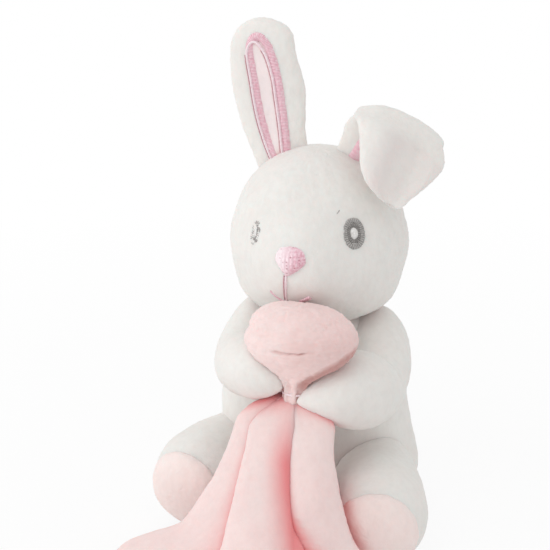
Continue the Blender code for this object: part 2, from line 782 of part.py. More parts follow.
def build_arm(side, name, materials, root, cutters):
    """The cover and filling of an arm, cut where it meets the body, the head and the blanket's neck."""
    outer, inner = arm_rings(side, 0), arm_rings(side, -PLUSH)
    cover = add_mesh(name + "_cover", loft(outer[::-1] + inner), materials["plush_white"], root)
    core = loft(arm_rings(side, -PLUSH - GAP))
    filling = add_mesh(name + "_filling", core, materials["fibre_white"], root)
    for cutter in cutters:
        combine(cover, cutter)
        combine(filling, cutter)
    return add_mesh(name + "_form", loft(arm_rings(side, GAP)), None, root)


def leg_radii(out):
    """Half the leg's width at a distance out along it from the hip."""
    foot, sole = FOOT_WIDTH / 2, SOLE_WIDTH / 2
    widest = LEG_LENGTH * FOOT_WIDEST_SHARE
    if out < 0:
        return math.sqrt(HIP_RADIUS * HIP_RADIUS - out * out)
    if out < widest:
        return mix(HIP_RADIUS, foot, math.sin(out / widest * math.pi / 2))
    t = (out - widest) / (LEG_LENGTH - widest)
    return mix(foot, sole, t * t)


def leg_ring(out, radius):
    """A round section of the leg, whose middle sinks a little from the hip to the foot."""
    sink = -LEG_DROP * max(out, 0) / LEG_LENGTH
    return [Vector((radius * math.cos(a), -out, sink + radius * math.sin(a))) for a in turn(LEG_SEGMENTS)]


def leg_rings(grow):
    """Sections along the leg's own -Y, from its round root in the hip to the foot's open end."""
    reach = HIP_RADIUS + grow
    rings = []
    for angle in spaced(-math.pi / 2, 0, 5)[:-1]:
        radius = max(reach * math.cos(angle), GAP)
        rings.append(leg_ring(reach * math.sin(angle), radius))
    rings += [leg_ring(out, leg_radii(out) + grow) for out in spaced(0, LEG_LENGTH, LEG_RINGS + 1)]
    return rings


def socket_rings():
    """The room that a leg needs as it swings to both sides of the swing's middle."""
    rings = leg_rings(HIP_ROOM)
    for ring in rings:
        for point in ring:
            radius = max(abs(point.x), GAP)
            point.x *= 1 + max(-point.y, 0) * math.tan(LEG_SWING / 2) / radius
    return rings


def sole_rings(inset):
    """A bulging disc over the foot's end."""
    edge = SOLE_WIDTH / 2
    rings = []
    for share in SOLE_RING_SHARES:
        out = LEG_LENGTH + GAP + PLUSH - inset + SOLE_BULGE * (1 - share * share)
        rings.append(leg_ring(out, (edge - inset * (1 - share)) * share))
    return rings


def build_leg(name, hip, splay, materials, root, body_pieces, floor):
    """A leg that swings sideways about the hip's upright axis, in a socket cut in the body."""
    frame = Matrix.Translation(hip) @ Matrix.Rotation(splay, 4, "Z")
    leg = add_empty(name + "_hip", root, frame)
    outer, inner = leg_rings(0), leg_rings(-PLUSH)
    cover = add_mesh(name + "_cover", loft(outer + inner[::-1]), materials["plush_white"], leg)
    core = leg_rings(-PLUSH - GAP) + sole_rings(PLUSH + GAP)[1:]
    filling = add_mesh(name + "_filling", loft(core), materials["fibre_white"], leg)
    sole_shape = loft(sole_rings(0)[::-1] + sole_rings(PLUSH))
    sole = add_mesh(name + "_sole", sole_shape, materials["plush_pale_pink"], leg)
    for piece in (cover, filling, sole):
        combine(piece, floor)
    middle = math.copysign(LEG_SWING / 2, splay)
    swept = add_empty(name + "_swing", leg, Matrix.Rotation(middle, 4, "Z"))
    socket = add_mesh(name + "_socket", loft(socket_rings()), None, swept)
    for piece in body_pieces:
        combine(piece, socket)


def build_tail(materials, root, body_form):
    """A small ball on the back of the seat."""
    half = TAIL_WIDTH / 2
    rings = []
    for angle in spaced(-math.pi / 2, math.pi / 2, 9)[1:-1]:
        height = TAIL_HEIGHT + half * math.sin(angle)
        radius = half * math.cos(angle)
        centre = Vector((0, BODY_DEPTH / 2 + half / 2, height))
        ring = [centre + Vector((math.cos(a), math.sin(a), 0)) * radius for a in turn(TAIL_SEGMENTS)]
        rings.append(ring)
    tail = add_mesh("tail", loft(rings), materials["plush_white"], root)
    combine(tail, body_form)


# The blanket above the paws: its middle is gathered into a neck between them and puffs out above.


def bundle_place(share):
    """The centre and radius of the blanket's neck, from its top to its bottom."""
    radius = mix(BUNDLE_TOP_WIDTH, BUNDLE_BOTTOM_WIDTH, share) / 2
    return mix(BUNDLE_TOP, BUNDLE_BOTTOM, share), radius


def bundle_frame():
    """Two directions square to the blanket's neck."""
    along = (BUNDLE_BOTTOM - BUNDLE_TOP).normalized()
    side = Vector((1, 0, 0))
    return side, along.cross(side).normalized()


def bundle_rings(grow):
    side, deep = bundle_frame()
    rings = []
    for share in spaced(0, 1, 4):
        place, radius = bundle_place(share)
        reach = radius + grow
        ring = [place + (side * math.cos(a) + deep * math.sin(a)) * reach for a in turn(BUNDLE_SEGMENTS)]
        rings.append(ring)
    return rings


def tuft_rings():
    """Flat-lying sections of the tuft. Two level grooves part it into three soft rolls."""
    rings = []
    for share in [(i + 0.5) / TUFT_RINGS for i in range(TUFT_RINGS)]:
        level = 2 * share - 1
        swell = (1 - abs(level) ** TUFT_SQUARENESS) ** (1 / TUFT_SQUARENESS)
        for place in TUFT_GROOVE_PLACE_SHARES:
            near = (share - place) / TUFT_GROOVE_SPREAD_SHARE
            swell -= TUFT_GROOVE_SHARE * math.exp(-near * near)
        centre = TUFT_CENTRE + Vector((0, 0, TUFT_HEIGHT / 2 * level))
        rings.append(slab_ring(
            centre, Vector((1, 0, 0)), TUFT_WIDTH / 2 * swell, TUFT_DEPTH / 2 * swell, TUFT_SEGMENTS
        ))
    return rings


def build_tuft(materials, root, head_sweep_form, arm_forms):
    tuft = add_mesh("blanket_tuft", loft(tuft_rings()), materials["plush_pink"], root)
    for form in arm_forms:
        combine(tuft, form)
    combine(tuft, add_mesh("blanket_neck", loft(bundle_rings(0)), None, root), "UNION")
    combine(tuft, head_sweep_form)


def build_gathering_thread(materials, root):
    """A loop of thread that ties the blanket's neck between the paws."""
    place, radius = bundle_place(THREAD_PLACE_SHARE)
    side, deep = bundle_frame()
    along = side.cross(deep)
    thin = THREAD_WIDTH / 2
    reach = radius + GAP + thin
    rings = []
    for angle in turn(THREAD_SEGMENTS):
        out = side * math.cos(angle) + deep * math.sin(angle)
        rings.append([
            place + out * (reach + thin * math.cos(a)) + along * (thin * math.sin(a)) for a in turn(6)
        ])
    add_mesh("gathering_thread", ring_loft(rings), materials["satin_pink"], root)


# The blanket below the paws falls from the grip all round and runs out on the ground in folds.


def cloth_length(angle):
    """From the grip to the hem, for a direction in the flat square. Its corners reach furthest."""
    half = BLANKET_SIDE / 2
    turned = angle + CLOTH_TURN
    edge = half / max(abs(math.cos(turned)), abs(math.sin(turned)))
    return edge - TUFT_CLOTH


def skirt_point(angle, share):
    """A point midway through the cloth. Angle 0 is straight ahead and grows to the rabbit's left."""
    along = cloth_length(angle) * share
    fall = min(along / SKIRT_FALL, 1)
    out = Vector((math.sin(angle), -math.cos(angle), 0))
    steep = math.sqrt(max(1 - fall, 0))
    whole_run = SKIRT_FALL / SKIRT_FALL_POWER
    run = whole_run * fall**SKIRT_FALL_POWER + max(along - SKIRT_FALL, 0)
    forward = SKIRT_FRONT_REACH if out.y < 0 else SKIRT_BACK_REACH
    sideways = SKIRT_LEFT_REACH if out.x > 0 else SKIRT_RIGHT_REACH
    reach = Vector((out.x * sideways, out.y * forward, 0)) * (run / whole_run)
    top = Vector((out.x * GRIP_WIDTH / 2, out.y * GRIP_DEPTH / 2, 0))
    height = mix(SKIRT_FLOOR_ROOM, GRIP.z, (1 - fall) ** SKIRT_FALL_POWER)
    wave = (1 + math.cos(FOLD_COUNT * (angle - FOLD_PHASE))) / 2
    depth = mix(FOLD_DEPTH_TOP, FOLD_DEPTH_HEM, ease(fall)) * wave
    depth *= mix(1, BACK_FOLD_SHARE, ease(out.y + 1 / 2))
    wide, deep = sideways + GRIP_WIDTH / 2, forward + GRIP_DEPTH / 2
    outward = Vector((out.x * deep, out.y * wide, 0)).normalized()
    normal = outward * steep + Vector((0, 0, math.sqrt(fall)))
    middle = Vector((GRIP.x, GRIP.y - SKIRT_LEAN * fall**SKIRT_LEAN_POWER, height))
    return middle + top + reach + normal * depth


def skirt_grid(lift):
    """Rings of points of the skirt from the grip to the hem, lifted off the cloth's middle."""
    angles = turn(SKIRT_COLUMNS)
    step = math.pi / SKIRT_COLUMNS
    rise = 1 / (4 * SKIRT_ROWS)
    grid = []
    for share in spaced(0, 1, SKIRT_ROWS + 1):
        ring = []
        for angle in angles:
            point = skirt_point(angle, share)
            around = skirt_point(angle + step, share) - skirt_point(angle - step, share)
            down = skirt_point(angle, min(share + rise, 1)) - skirt_point(angle, max(share - rise, 0))
            ring.append(point + around.cross(down).normalized() * lift)
        grid.append(ring)
    return grid


def build_skirt(materials, root):
    for name, sign in (("blanket_top_layer", -1), ("blanket_lining", 1)):
        near, far = sign * GAP / 2, sign * (GAP / 2 + BLANKET_LAYER)
        outer, inner = skirt_grid(far), skirt_grid(near)
        shape = ring_loft(outer + inner[::-1])
        add_mesh(name, shape, materials["plush_pink"], root)


def floor_cutter(root):
    """Everything below the ground that the toy sits on."""
    size = FLOOR_SIZE
    corners = ((-size, -size), (size, -size), (size, size), (-size, size))
    shape = loft([[Vector((x, y, z)) for x, y in corners] for z in (-CUT_OVERRUN, 0)])
    return add_mesh("floor_cut", shape, None, root)


def main():
    clear_scene()
    materials = make_materials()
    root = add_empty("lovey", None, Matrix.Identity(4))
    body_cover, body_filling, body_form = build_body(materials, root)
    head_place = Matrix.Translation(Vector((0, -HEAD_FORWARD, HEAD_CENTRE_HEIGHT)))
    head = add_empty("head_centre", root, head_place)
    head_cover, head_sweep_form = build_head(materials, root, head)
    for side, name in ((1, "eye_left"), (-1, "eye_right")):
        build_eye(side, name, materials, head)
    build_nose_and_mouth(materials, head)
    build_brow(materials, head)
    build_upright_ear(materials, head, head_cover)
    build_folded_ear(materials, head, head_cover)
    thread_room = 2 * GAP + THREAD_WIDTH
    neck_room = add_mesh("neck_room", loft(bundle_rings(thread_room)), None, root)
    arm_forms = []
    for side, name in ((1, "arm_left"), (-1, "arm_right")):
        cutters = (body_form, head_sweep_form, neck_room)
        arm_forms.append(build_arm(side, name, materials, root, cutters))
    floor = floor_cutter(root)
    body_pieces = (body_cover, body_filling)
    build_leg("leg_left", HIP_LEFT, LEG_LEFT_SPLAY, materials, root, body_pieces, floor)
    build_leg("leg_right", HIP_RIGHT, LEG_RIGHT_SPLAY, materials, root, body_pieces, floor)
    build_tail(materials, root, body_form)
    build_tuft(materials, root, head_sweep_form, arm_forms)
    build_gathering_thread(materials, root)
    build_skirt(materials, root)


main()
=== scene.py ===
import math

import bpy
import numpy as np
from mathutils import Matrix, Vector, noise


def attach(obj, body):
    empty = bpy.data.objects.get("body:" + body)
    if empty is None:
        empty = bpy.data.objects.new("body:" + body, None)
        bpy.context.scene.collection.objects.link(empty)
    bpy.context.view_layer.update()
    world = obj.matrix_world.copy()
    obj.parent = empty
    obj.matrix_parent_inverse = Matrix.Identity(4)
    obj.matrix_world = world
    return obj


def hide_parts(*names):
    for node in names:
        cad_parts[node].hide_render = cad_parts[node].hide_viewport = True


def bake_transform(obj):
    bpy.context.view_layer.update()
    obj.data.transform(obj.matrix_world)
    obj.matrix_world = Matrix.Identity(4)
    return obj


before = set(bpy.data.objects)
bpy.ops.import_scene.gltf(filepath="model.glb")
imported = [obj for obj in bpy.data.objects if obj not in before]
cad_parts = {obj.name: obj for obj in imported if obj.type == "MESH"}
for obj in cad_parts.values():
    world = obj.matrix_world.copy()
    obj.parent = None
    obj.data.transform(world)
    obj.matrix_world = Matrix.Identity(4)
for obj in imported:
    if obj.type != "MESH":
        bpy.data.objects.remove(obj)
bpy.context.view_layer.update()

MM = 0.001
IMAGE = 550
CAMERA_AZIMUTH = 15
CAMERA_ELEVATION = 20
CAMERA_DISTANCE = 550 * MM
CAMERA_TARGET = (-18.7 * MM, -5.05 * MM, 103.7 * MM)
PIXELS_PER_MM = 2.33
SENSOR = 36

# sRGB colours, 0 to 255
WHITE = (240, 238, 234)
WHITE_DEEP = (226, 219, 214)
PINK = (249, 228, 225)
PINK_DEEP = (243, 206, 204)
PALE = (251, 235, 231)
PALE_DEEP = (244, 220, 215)
LINING = (253, 238, 237)
LINING_DEEP = (249, 226, 225)
# each thread colour has a light one that random strands take: partly thread tone, partly painted sheen
SATIN = (240, 180, 195)
SATIN_LIGHT = (252, 222, 230)
GREY_LIGHT = (158, 154, 151)
GREY_DARK = (124, 120, 117)
THREAD_WHITE = (222, 219, 216)
# painted shade colours, which the pile takes in its hollows and where the mesh marks painted shade
PINK_SHADE = (244, 146, 148)
BUNCH_SHADE = (200, 154, 149)
WHITE_SHADE = (230, 223, 220)
PALE_SHADE = (226, 178, 174)
NOSE = (224, 156, 174)
NOSE_LIGHT = (250, 220, 229)
NOSE_DOT = (178, 116, 128)
# painted highlight colour for the nose's lit side
NOSE_HIGHLIGHT = (255, 244, 247)
# the gathering thread's pale cord colour, also used as the painted highlight on the ear border and the mouth
CORD_AND_HIGHLIGHT = (252, 226, 233)
CORD_AND_HIGHLIGHT_SHEEN = (255, 245, 248)
# a dark line painted as the shadow beside a lit thread
SHADOW_LINE = (216, 164, 172)
SHADOW_LINE_LIGHT = (232, 192, 199)
OUTER_RING_LIGHT = (202, 199, 196)
INNER_RING_LIGHT = (168, 164, 161)
THREAD_WHITE_LIGHT = (246, 245, 243)


# Mesh helpers. Rows of points are in millimetres.


def turn(count):
    return [2 * math.pi * i / count for i in range(count)]


def mix(first, second, share):
    return first + (second - first) * share


def ease(t):
    t = min(max(t, 0), 1)
    return t * t * (3 - 2 * t)


def bell(distance, width):
    return math.exp(-((distance / width) ** 2))


def along(value, places, levels):
    return float(np.interp(value, places, levels))


def smooth_curve(points, steps):
    """Points on a smooth curve through the given ones. A point may carry its radius as a last number."""
    points = [np.array(p, float) for p in points]
    path = []
    for i in range(len(points) - 1):
        before, after = points[max(i - 1, 0)], points[min(i + 2, len(points) - 1)]
        first, second = points[i], points[i + 1]
        for k in range(steps):
            t = k / steps
            pull_in, pull_out = (second - before) / 2, (after - first) / 2
            start = first * (2 * t**3 - 3 * t**2 + 1) + pull_in * (t**3 - 2 * t**2 + t)
            path.append(start + second * (3 * t**2 - 2 * t**3) + pull_out * (t**3 - t**2))
    path.append(points[-1])
    return path


def add_object(name, data):
    obj = bpy.data.objects.new(name, data)
    bpy.context.scene.collection.objects.link(obj)
    return obj


def skin(name, rows, looped=False, painted_shades=None):
    """A closed mesh object through rows of points, each row a ring. Unless looped, a fan closes each end."""
    count, width = len(rows), len(rows[0])
    points = [tuple(p) for row in rows for p in row]
    faces = []
    for r in range(count if looped else count - 1):
        first, second = r * width, ((r + 1) % count) * width
        for c in range(width):
            d = (c + 1) % width
            faces.append((first + c, first + d, second + d, second + c))
    if not looped:
        for row, start, flip in ((rows[0], 0, True), (rows[-1], (count - 1) * width, False)):
            centre = tuple(np.mean(np.array([tuple(p) for p in row]), axis=0))
            points.append(centre)
            for c in range(width):
                d = (c + 1) % width
                face = (start + c, start + d, len(points) - 1)
                faces.append(face[::-1] if flip else face)
    mesh = bpy.data.meshes.new(name)
    mesh.from_pydata([(x * MM, y * MM, z * MM) for x, y, z in points], [], faces)
    mesh.validate()
    obj = add_object(name, mesh)
    if signed_volume(mesh) < 0:
        mesh.flip_normals()
    mesh.shade_smooth()
    # a per-point amount of painted shade, which the materials read
    if painted_shades is not None:
        values = np.zeros(len(points), "f")
        values[:count * width] = np.array(painted_shades, "f").ravel()
        mesh.attributes.new("painted_shade", "FLOAT", "POINT").data.foreach_set("value", values)
    return obj


def signed_volume(mesh):
    total = 0
    for polygon in mesh.polygons:
        a, *others = [mesh.vertices[i].co for i in polygon.vertices]
        for b, c in zip(others, others[1:]):
            total += a.dot(b.cross(c))
    return total


def roughen(obj, layers, seed):
    """Moves the points along their normals by soft noise. A layer is (size, amount) in millimetres."""
    shift = Vector((seed * 13.7, seed * 7.3, seed * 3.1))
    moved = []
    for vertex in obj.data.vertices:
        amount = 0
        for size, height in layers:
            amount += height * noise.noise(vertex.co / (size * MM) + shift)
        moved.append(vertex.co + vertex.normal * (amount * MM))
    obj.data.vertices.foreach_set("co", np.array([tuple(p) for p in moved]).ravel())
    obj.data.update()


def place(obj, matrix):
    """Moves the mesh itself, so that the object stays at the origin. The matrix is in millimetres."""
    obj.data.transform(Matrix.Translation(matrix.to_translation() * MM) @ matrix.to_3x3().to_4x4())
    obj.data.update()


PILE = ((1.3, 0.22), (3.5, 0.18), (14, 0.35))
SHORT_PILE = ((1.1, 0.14), (4, 0.12), (12, 0.2))


# Materials


def linear(colour):
    parts = []
    for value in colour:
        v = value / 255
        parts.append(v / 12.92 if v <= 0.04045 else ((v + 0.055) / 1.055) ** 2.4)
    return (*parts, 1)


class Nodes:
    """Short calls for a material's nodes."""

    def __init__(self, name):
        self.material = bpy.data.materials.new(name)
        self.material.use_nodes = True
        self.tree = self.material.node_tree
        self.shader = self.tree.nodes["Principled BSDF"]
        self.place = self.add("ShaderNodeTexCoord").outputs["Object"]

    def add(self, kind, **settings):
        node = self.tree.nodes.new(kind)
        for key, value in settings.items():
            if hasattr(node, key):
                setattr(node, key, value)
            else:
                node.inputs[key.replace("_", " ")].default_value = value
        return node

    def link(self, source, node, name):
        self.tree.links.new(source, node.inputs[name])

    def stretched(self, scale):
        mapping = self.add("ShaderNodeMapping", Scale=scale)
        self.link(self.place, mapping, "Vector")
        return mapping.outputs[0]

    def noise(self, scale, detail=3, rough=0.5, stretch=None):
        node = self.add("ShaderNodeTexNoise", Scale=scale, Detail=detail, Roughness=rough)
        self.link(self.stretched(stretch) if stretch else self.place, node, "Vector")
        return node.outputs["Fac"]

    def ramp(self, source, low, high, first, second):
        node = self.add("ShaderNodeValToRGB")
        node.color_ramp.elements[0].position = low
        node.color_ramp.elements[1].position = high
        node.color_ramp.elements[0].color = first
        node.color_ramp.elements[1].color = second
        self.link(source, node, "Fac")
        return node.outputs["Color"]

    def remap(self, source, low, high, first, last):
        """A value that runs from first to last while the source runs from low to high."""
        node = self.add("ShaderNodeMapRange", From_Min=low, From_Max=high, To_Min=first, To_Max=last)
        self.link(source, node, "Value")
        return node.outputs[0]

    def calculate(self, operation, first, second):
        node = self.add("ShaderNodeMath", operation=operation)
        self.tree.links.new(first, node.inputs[0])
        self.tree.links.new(second, node.inputs[1])
        return node.outputs[0]

    # the per-point amount of painted shade that the mesh carries
    def painted_shade(self):
        return self.add("ShaderNodeAttribute", attribute_name="painted_shade").outputs["Fac"]

    def blend(self, share, first, second, kind="MIX"):
        node = self.add("ShaderNodeMix", data_type="RGBA", blend_type=kind)
        for value, index in ((share, 0), (first, 6), (second, 7)):
            if isinstance(value, (float, int, tuple)):
                node.inputs[index].default_value = value
            else:
                self.tree.links.new(value, node.inputs[index])
        return node.outputs[2]

    def bump(self, *layers):
        """Each layer is (height source, strength, distance)."""
        normal = None
        for source, strength, distance in layers:
            node = self.add("ShaderNodeBump", Strength=strength, Distance=distance)
            self.link(source, node, "Height")
            if normal is not None:
                self.link(normal, node, "Normal")
            normal = node.outputs[0]
        self.link(normal, self.shader, "Normal")

    def set(self, **values):
        for key, value in values.items():
            self.shader.inputs[key.replace("_", " ")].default_value = value


def plush(name, colour, deep, shade_colour, reach, sheen, glow):
    """Short cut pile: brushed patches, fibre clumps, a soft rim, and a painted shade colour in the hollows
    and wherever the mesh marks painted shade.
    """
    n = Nodes(name)
    patches = n.noise(45, 4, 0.55)
    brushed = n.ramp(patches, 0.35, 0.7, linear(deep), linear(colour))
    soft = n.blend(0.72, brushed, linear(colour))
    fibres = n.noise(1500, 2, 0.6, (1, 1, 0.35))
    clumps = n.noise(420, 3, 0.6, (1, 1, 0.5))
    shade = n.ramp(clumps, 0.25, 0.6, (0.93, 0.925, 0.925, 1), (1, 1, 1, 1))
    wear_and_highlight = n.blend(0.6, soft, n.blend(1.0, soft, shade, "MULTIPLY"))
    # painted shade: the hollows found by ambient occlusion, and the marked painted shade, take the shade
    # colour
    hollow = n.add("ShaderNodeAmbientOcclusion", Distance=reach)
    hollow.samples = 8
    depth = n.remap(hollow.outputs["AO"], 0.88, 0.3, 0.0, 1.0)
    deeper = n.calculate("MAXIMUM", depth, n.painted_shade())
    n.link(n.blend(deeper, wear_and_highlight, linear(shade_colour)), n.shader, "Base Color")
    n.bump((clumps, 0.28, 0.0006), (fibres, 0.35, 0.0003))
    n.set(Roughness=0.92, Specular_IOR_Level=0.15, Sheen_Weight=sheen, Sheen_Roughness=0.45)
    n.set(Sheen_Tint=linear(colour), Subsurface_Weight=glow, Subsurface_Radius=(1.0, 0.6, 0.55))
    n.set(Subsurface_Scale=0.004)
    return n.material


def satin(name, colour, light, rough=0.34, scale=900, holes=None, gap=0.5):
    """Shiny embroidery thread. Random strands take the light colour, partly thread tone and partly painted
    sheen, and painted shade darkens it between the stitches as far as gap says. With holes, it is dotted in
    that colour and has a painted highlight on the side of low X.
    """
    n = Nodes(name)
    # random strands lighten to the light colour: partly thread tone, partly painted sheen
    strands = n.noise(scale, 2, 0.5)
    shine = n.ramp(strands, 0.3, 0.72, linear(colour), linear(light))
    # painted shade between the stitches: a darker copy of the thread colour
    shade_marks = n.ramp(n.painted_shade(), 0.35, 1.0, (0, 0, 0, 1), (gap, gap, gap, 1))
    shine = n.blend(shade_marks, shine, linear(tuple(c * 0.72 for c in colour)))
    layers = [(n.noise(2600, 1, 0.5), 0.25, 0.0002)]
    if holes:
        dots = n.add("ShaderNodeTexVoronoi", Scale=1.0, Randomness=0.35)
        n.link(n.stretched((620, 10, 900)), dots, "Vector")
        spots = n.ramp(dots.outputs["Distance"], 0.2, 0.38, (1, 1, 1, 1), (0, 0, 0, 1))
        layers.append((dots.outputs["Distance"], 0.5, 0.0004))
        # painted highlight: paler towards low X, the side the light comes from
        across = n.add("ShaderNodeSeparateXYZ")
        n.link(n.add("ShaderNodeTexCoord").outputs["Generated"], across, "Vector")
        wear_and_highlight = n.remap(across.outputs["X"], 0.72, 0.22, 0.0, 0.8)
        shine = n.blend(wear_and_highlight, shine, linear(NOSE_HIGHLIGHT))
        shine = n.blend(spots, shine, linear(holes))
    n.link(shine, n.shader, "Base Color")
    n.bump(*layers)
    n.set(Roughness=rough, Specular_IOR_Level=0.8, Sheen_Weight=0.25, Sheen_Roughness=0.3)
    n.set(Sheen_Tint=(1, 1, 1, 1))
    return n.material


MATERIALS = {
    "plush_white": plush("plush_white_pile", WHITE, WHITE_DEEP, WHITE_SHADE, 0.008, 0.35, 0.25),
    "plush_pink": plush("plush_pink_pile", PINK, PINK_DEEP, PINK_SHADE, 0.018, 0.4, 0.35),
    "pink_bunch": plush("bunch_pile", PINK, PINK_DEEP, BUNCH_SHADE, 0.003, 0.4, 0.35),
    "plush_pale_pink": plush("plush_pale_pile", PALE, PALE_DEEP, PALE_SHADE, 0.008, 0.35, 0.25),
    "lining": plush("ear_lining_pile", LINING, LINING_DEEP, PALE_SHADE, 0.003, 0.25, 0.2),
    "satin_pink": satin("satin_pink_thread", SATIN, SATIN_LIGHT),
    "satin_nose": satin("satin_pink_nose", NOSE, NOSE_LIGHT, 0.26, holes=NOSE_DOT),
    "satin_cord_and_highlight": satin("satin_pale_cord_and_highlight", CORD_AND_HIGHLIGHT, CORD_AND_HIGHLIGHT_SHEEN, 0.3, gap=0.2),
    "satin_shadow_line": satin("satin_shadow_line_thread", SHADOW_LINE, SHADOW_LINE_LIGHT, 0.5, gap=0.6),
    "thread_light_grey": satin("thread_light_grey", GREY_LIGHT, OUTER_RING_LIGHT, 0.4, gap=0.95),
    "thread_grey": satin("thread_dark_grey", GREY_DARK, INNER_RING_LIGHT, 0.4, gap=0.8),
    "thread_white": satin("thread_white", THREAD_WHITE, THREAD_WHITE_LIGHT, 0.45),
}


def finish_piece(obj, body, slot, replaced, material=None):
    obj.data.materials.clear()
    obj.data.materials.append(MATERIALS[material or slot])
    if body:
        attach(obj, body)
    if replaced:
        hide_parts(*replaced)
    return obj


# Body


BODY_HEIGHT, BODY_WIDTH, BODY_DEPTH = 91, 86, 68
SEAT_WIDTH, BELLY_HEIGHT, NECK_WIDTH = 52, 25, 34
BODY_STITCH_DEPTH = 0.9
BODY_STITCH_WIDTH = 1.6
HIP_SWELL, HIP_LEVEL = 0.08, 13
BODY_SHIFT, SHIFT_LEVEL = 2, 48


def body_outline():
    """(radius, height) from the middle of the seat over the belly to inside the head."""
    seat, belly, neck = SEAT_WIDTH / 2, BODY_WIDTH / 2, NECK_WIDTH / 2
    outline = [(r, 0.15) for r in (1, 8, 15, 21)]
    for k in range(22):
        angle = k / 22 * math.pi / 2
        outline.append((mix(seat, belly, math.sin(angle)), BELLY_HEIGHT * (1 - math.cos(angle))))
    for k in range(46):
        angle = k / 45 * math.pi / 2
        outline.append((mix(neck, belly, math.cos(angle)), mix(BELLY_HEIGHT, BODY_HEIGHT, math.sin(angle))))
    outline += [(13, BODY_HEIGHT + 2), (6, BODY_HEIGHT + 3)]
    return outline


def build_body():
    rows = []
    for radius, height in body_outline():
        row = []
        for a in turn(224):
            x = radius * math.cos(a)
            x *= 1 + HIP_SWELL * bell(height - HIP_LEVEL, 13) * abs(math.cos(a))
            x -= BODY_SHIFT * bell(height - SHIFT_LEVEL, 14)
            y = radius * BODY_DEPTH / BODY_WIDTH * math.sin(a)
            inward = 0
            if y > 0:
                inward = BODY_STITCH_DEPTH * bell(x, BODY_STITCH_WIDTH) * ease(radius / 25)
            row.append((x, y - inward, height))
        rows.append(row)
    body = skin("body", rows)
    roughen(body, PILE, 1)
    floor_limit(body)
    finish_piece(body, "torso", "plush_white", ("body_cover", "body_filling"))


def floor_limit(obj, lowest=0.12):
    """Flattens what would sink through the ground."""
    for vertex in obj.data.vertices:
        vertex.co.z = max(vertex.co.z, lowest * MM)
    obj.data.update()


# Head


HEAD = (0, -3, 123)
HEAD_WIDTH, HEAD_DEPTH, HEAD_HEIGHT = 76, 72, 76
MUZZLE_RISE, MUZZLE_ELEVATION, MUZZLE_SPREAD = 6.5, math.radians(-8), math.radians(27)
EYES = (
    # name, azimuth, elevation, width, height, depth in the pile, outer and inner ring, highlight
    ("left", math.radians(36.6), math.radians(17.6), 9.9, 12.8, 0, 2.3, 2.0, (4.3, 5.4)),
    ("right", math.radians(-33.8), math.radians(13.4), 6.2, 10, 0.42, 1.6, 1.3, (2.6, 4.4)),
)
NOSE_AZIMUTH, NOSE_ELEVATION = math.radians(-3.5), math.radians(2)
NOSE_WIDTH, NOSE_HEIGHT, NOSE_RISE = 13.4, 12.6, 2.6


def direction_at(azimuth, elevation):
    flat = math.cos(elevation)
    return Vector((math.sin(azimuth) * flat, -math.cos(azimuth) * flat, math.sin(elevation)))


MUZZLE = direction_at(0, MUZZLE_ELEVATION)
DIMPLES = [(direction_at(az, el), 0.9, math.radians(11)) for _, az, el, *_ in EYES]
DIMPLES += [
    (direction_at(NOSE_AZIMUTH, NOSE_ELEVATION - math.radians(3)), 1.0, math.radians(10)),
    (direction_at(NOSE_AZIMUTH, math.radians(-17)), 0.8, math.radians(7)),
]


def head_radius(direction):
    scaled = Vector((direction.x / HEAD_WIDTH, direction.y / HEAD_DEPTH, direction.z / HEAD_HEIGHT)) * 2
    radius = 1 / scaled.length
    away = math.acos(max(min(direction.dot(MUZZLE), 1), -1))
    radius += MUZZLE_RISE * bell(away, MUZZLE_SPREAD)
    aside = abs(direction.x)
    radius += 3.6 * aside**1.5 * bell(direction.z + 0.68, 0.24)
    radius -= 1.3 * aside**2 * bell(direction.z - 0.35, 0.3)
    for centre, depth, spread in DIMPLES:
        away = math.acos(max(min(direction.dot(centre), 1), -1))
        radius -= depth * bell(away, spread)
    return radius


def head_point(azimuth, elevation, lift):
    direction = direction_at(azimuth, elevation)
    return Vector(HEAD) + direction * (head_radius(direction) + lift)


def build_head():
    rows = []
    for k in range(1, 128):
        elevation = math.pi / 2 - math.pi * k / 128
        rows.append([head_point(a, elevation, 0) for a in turn(240)])
    head = skin("head", rows)
    roughen(head, PILE, 2)
    finish_piece(head, "head", "plush_white", ("head_cover", "head_filling"))


def face_of_head(azimuth, elevation):
    radius = head_radius(direction_at(azimuth, elevation))

    def face(right, up, lift):
        side = right / (radius * math.cos(elevation))
        return head_point(azimuth + side, elevation + up / radius, lift)

    return face


# Embroidery


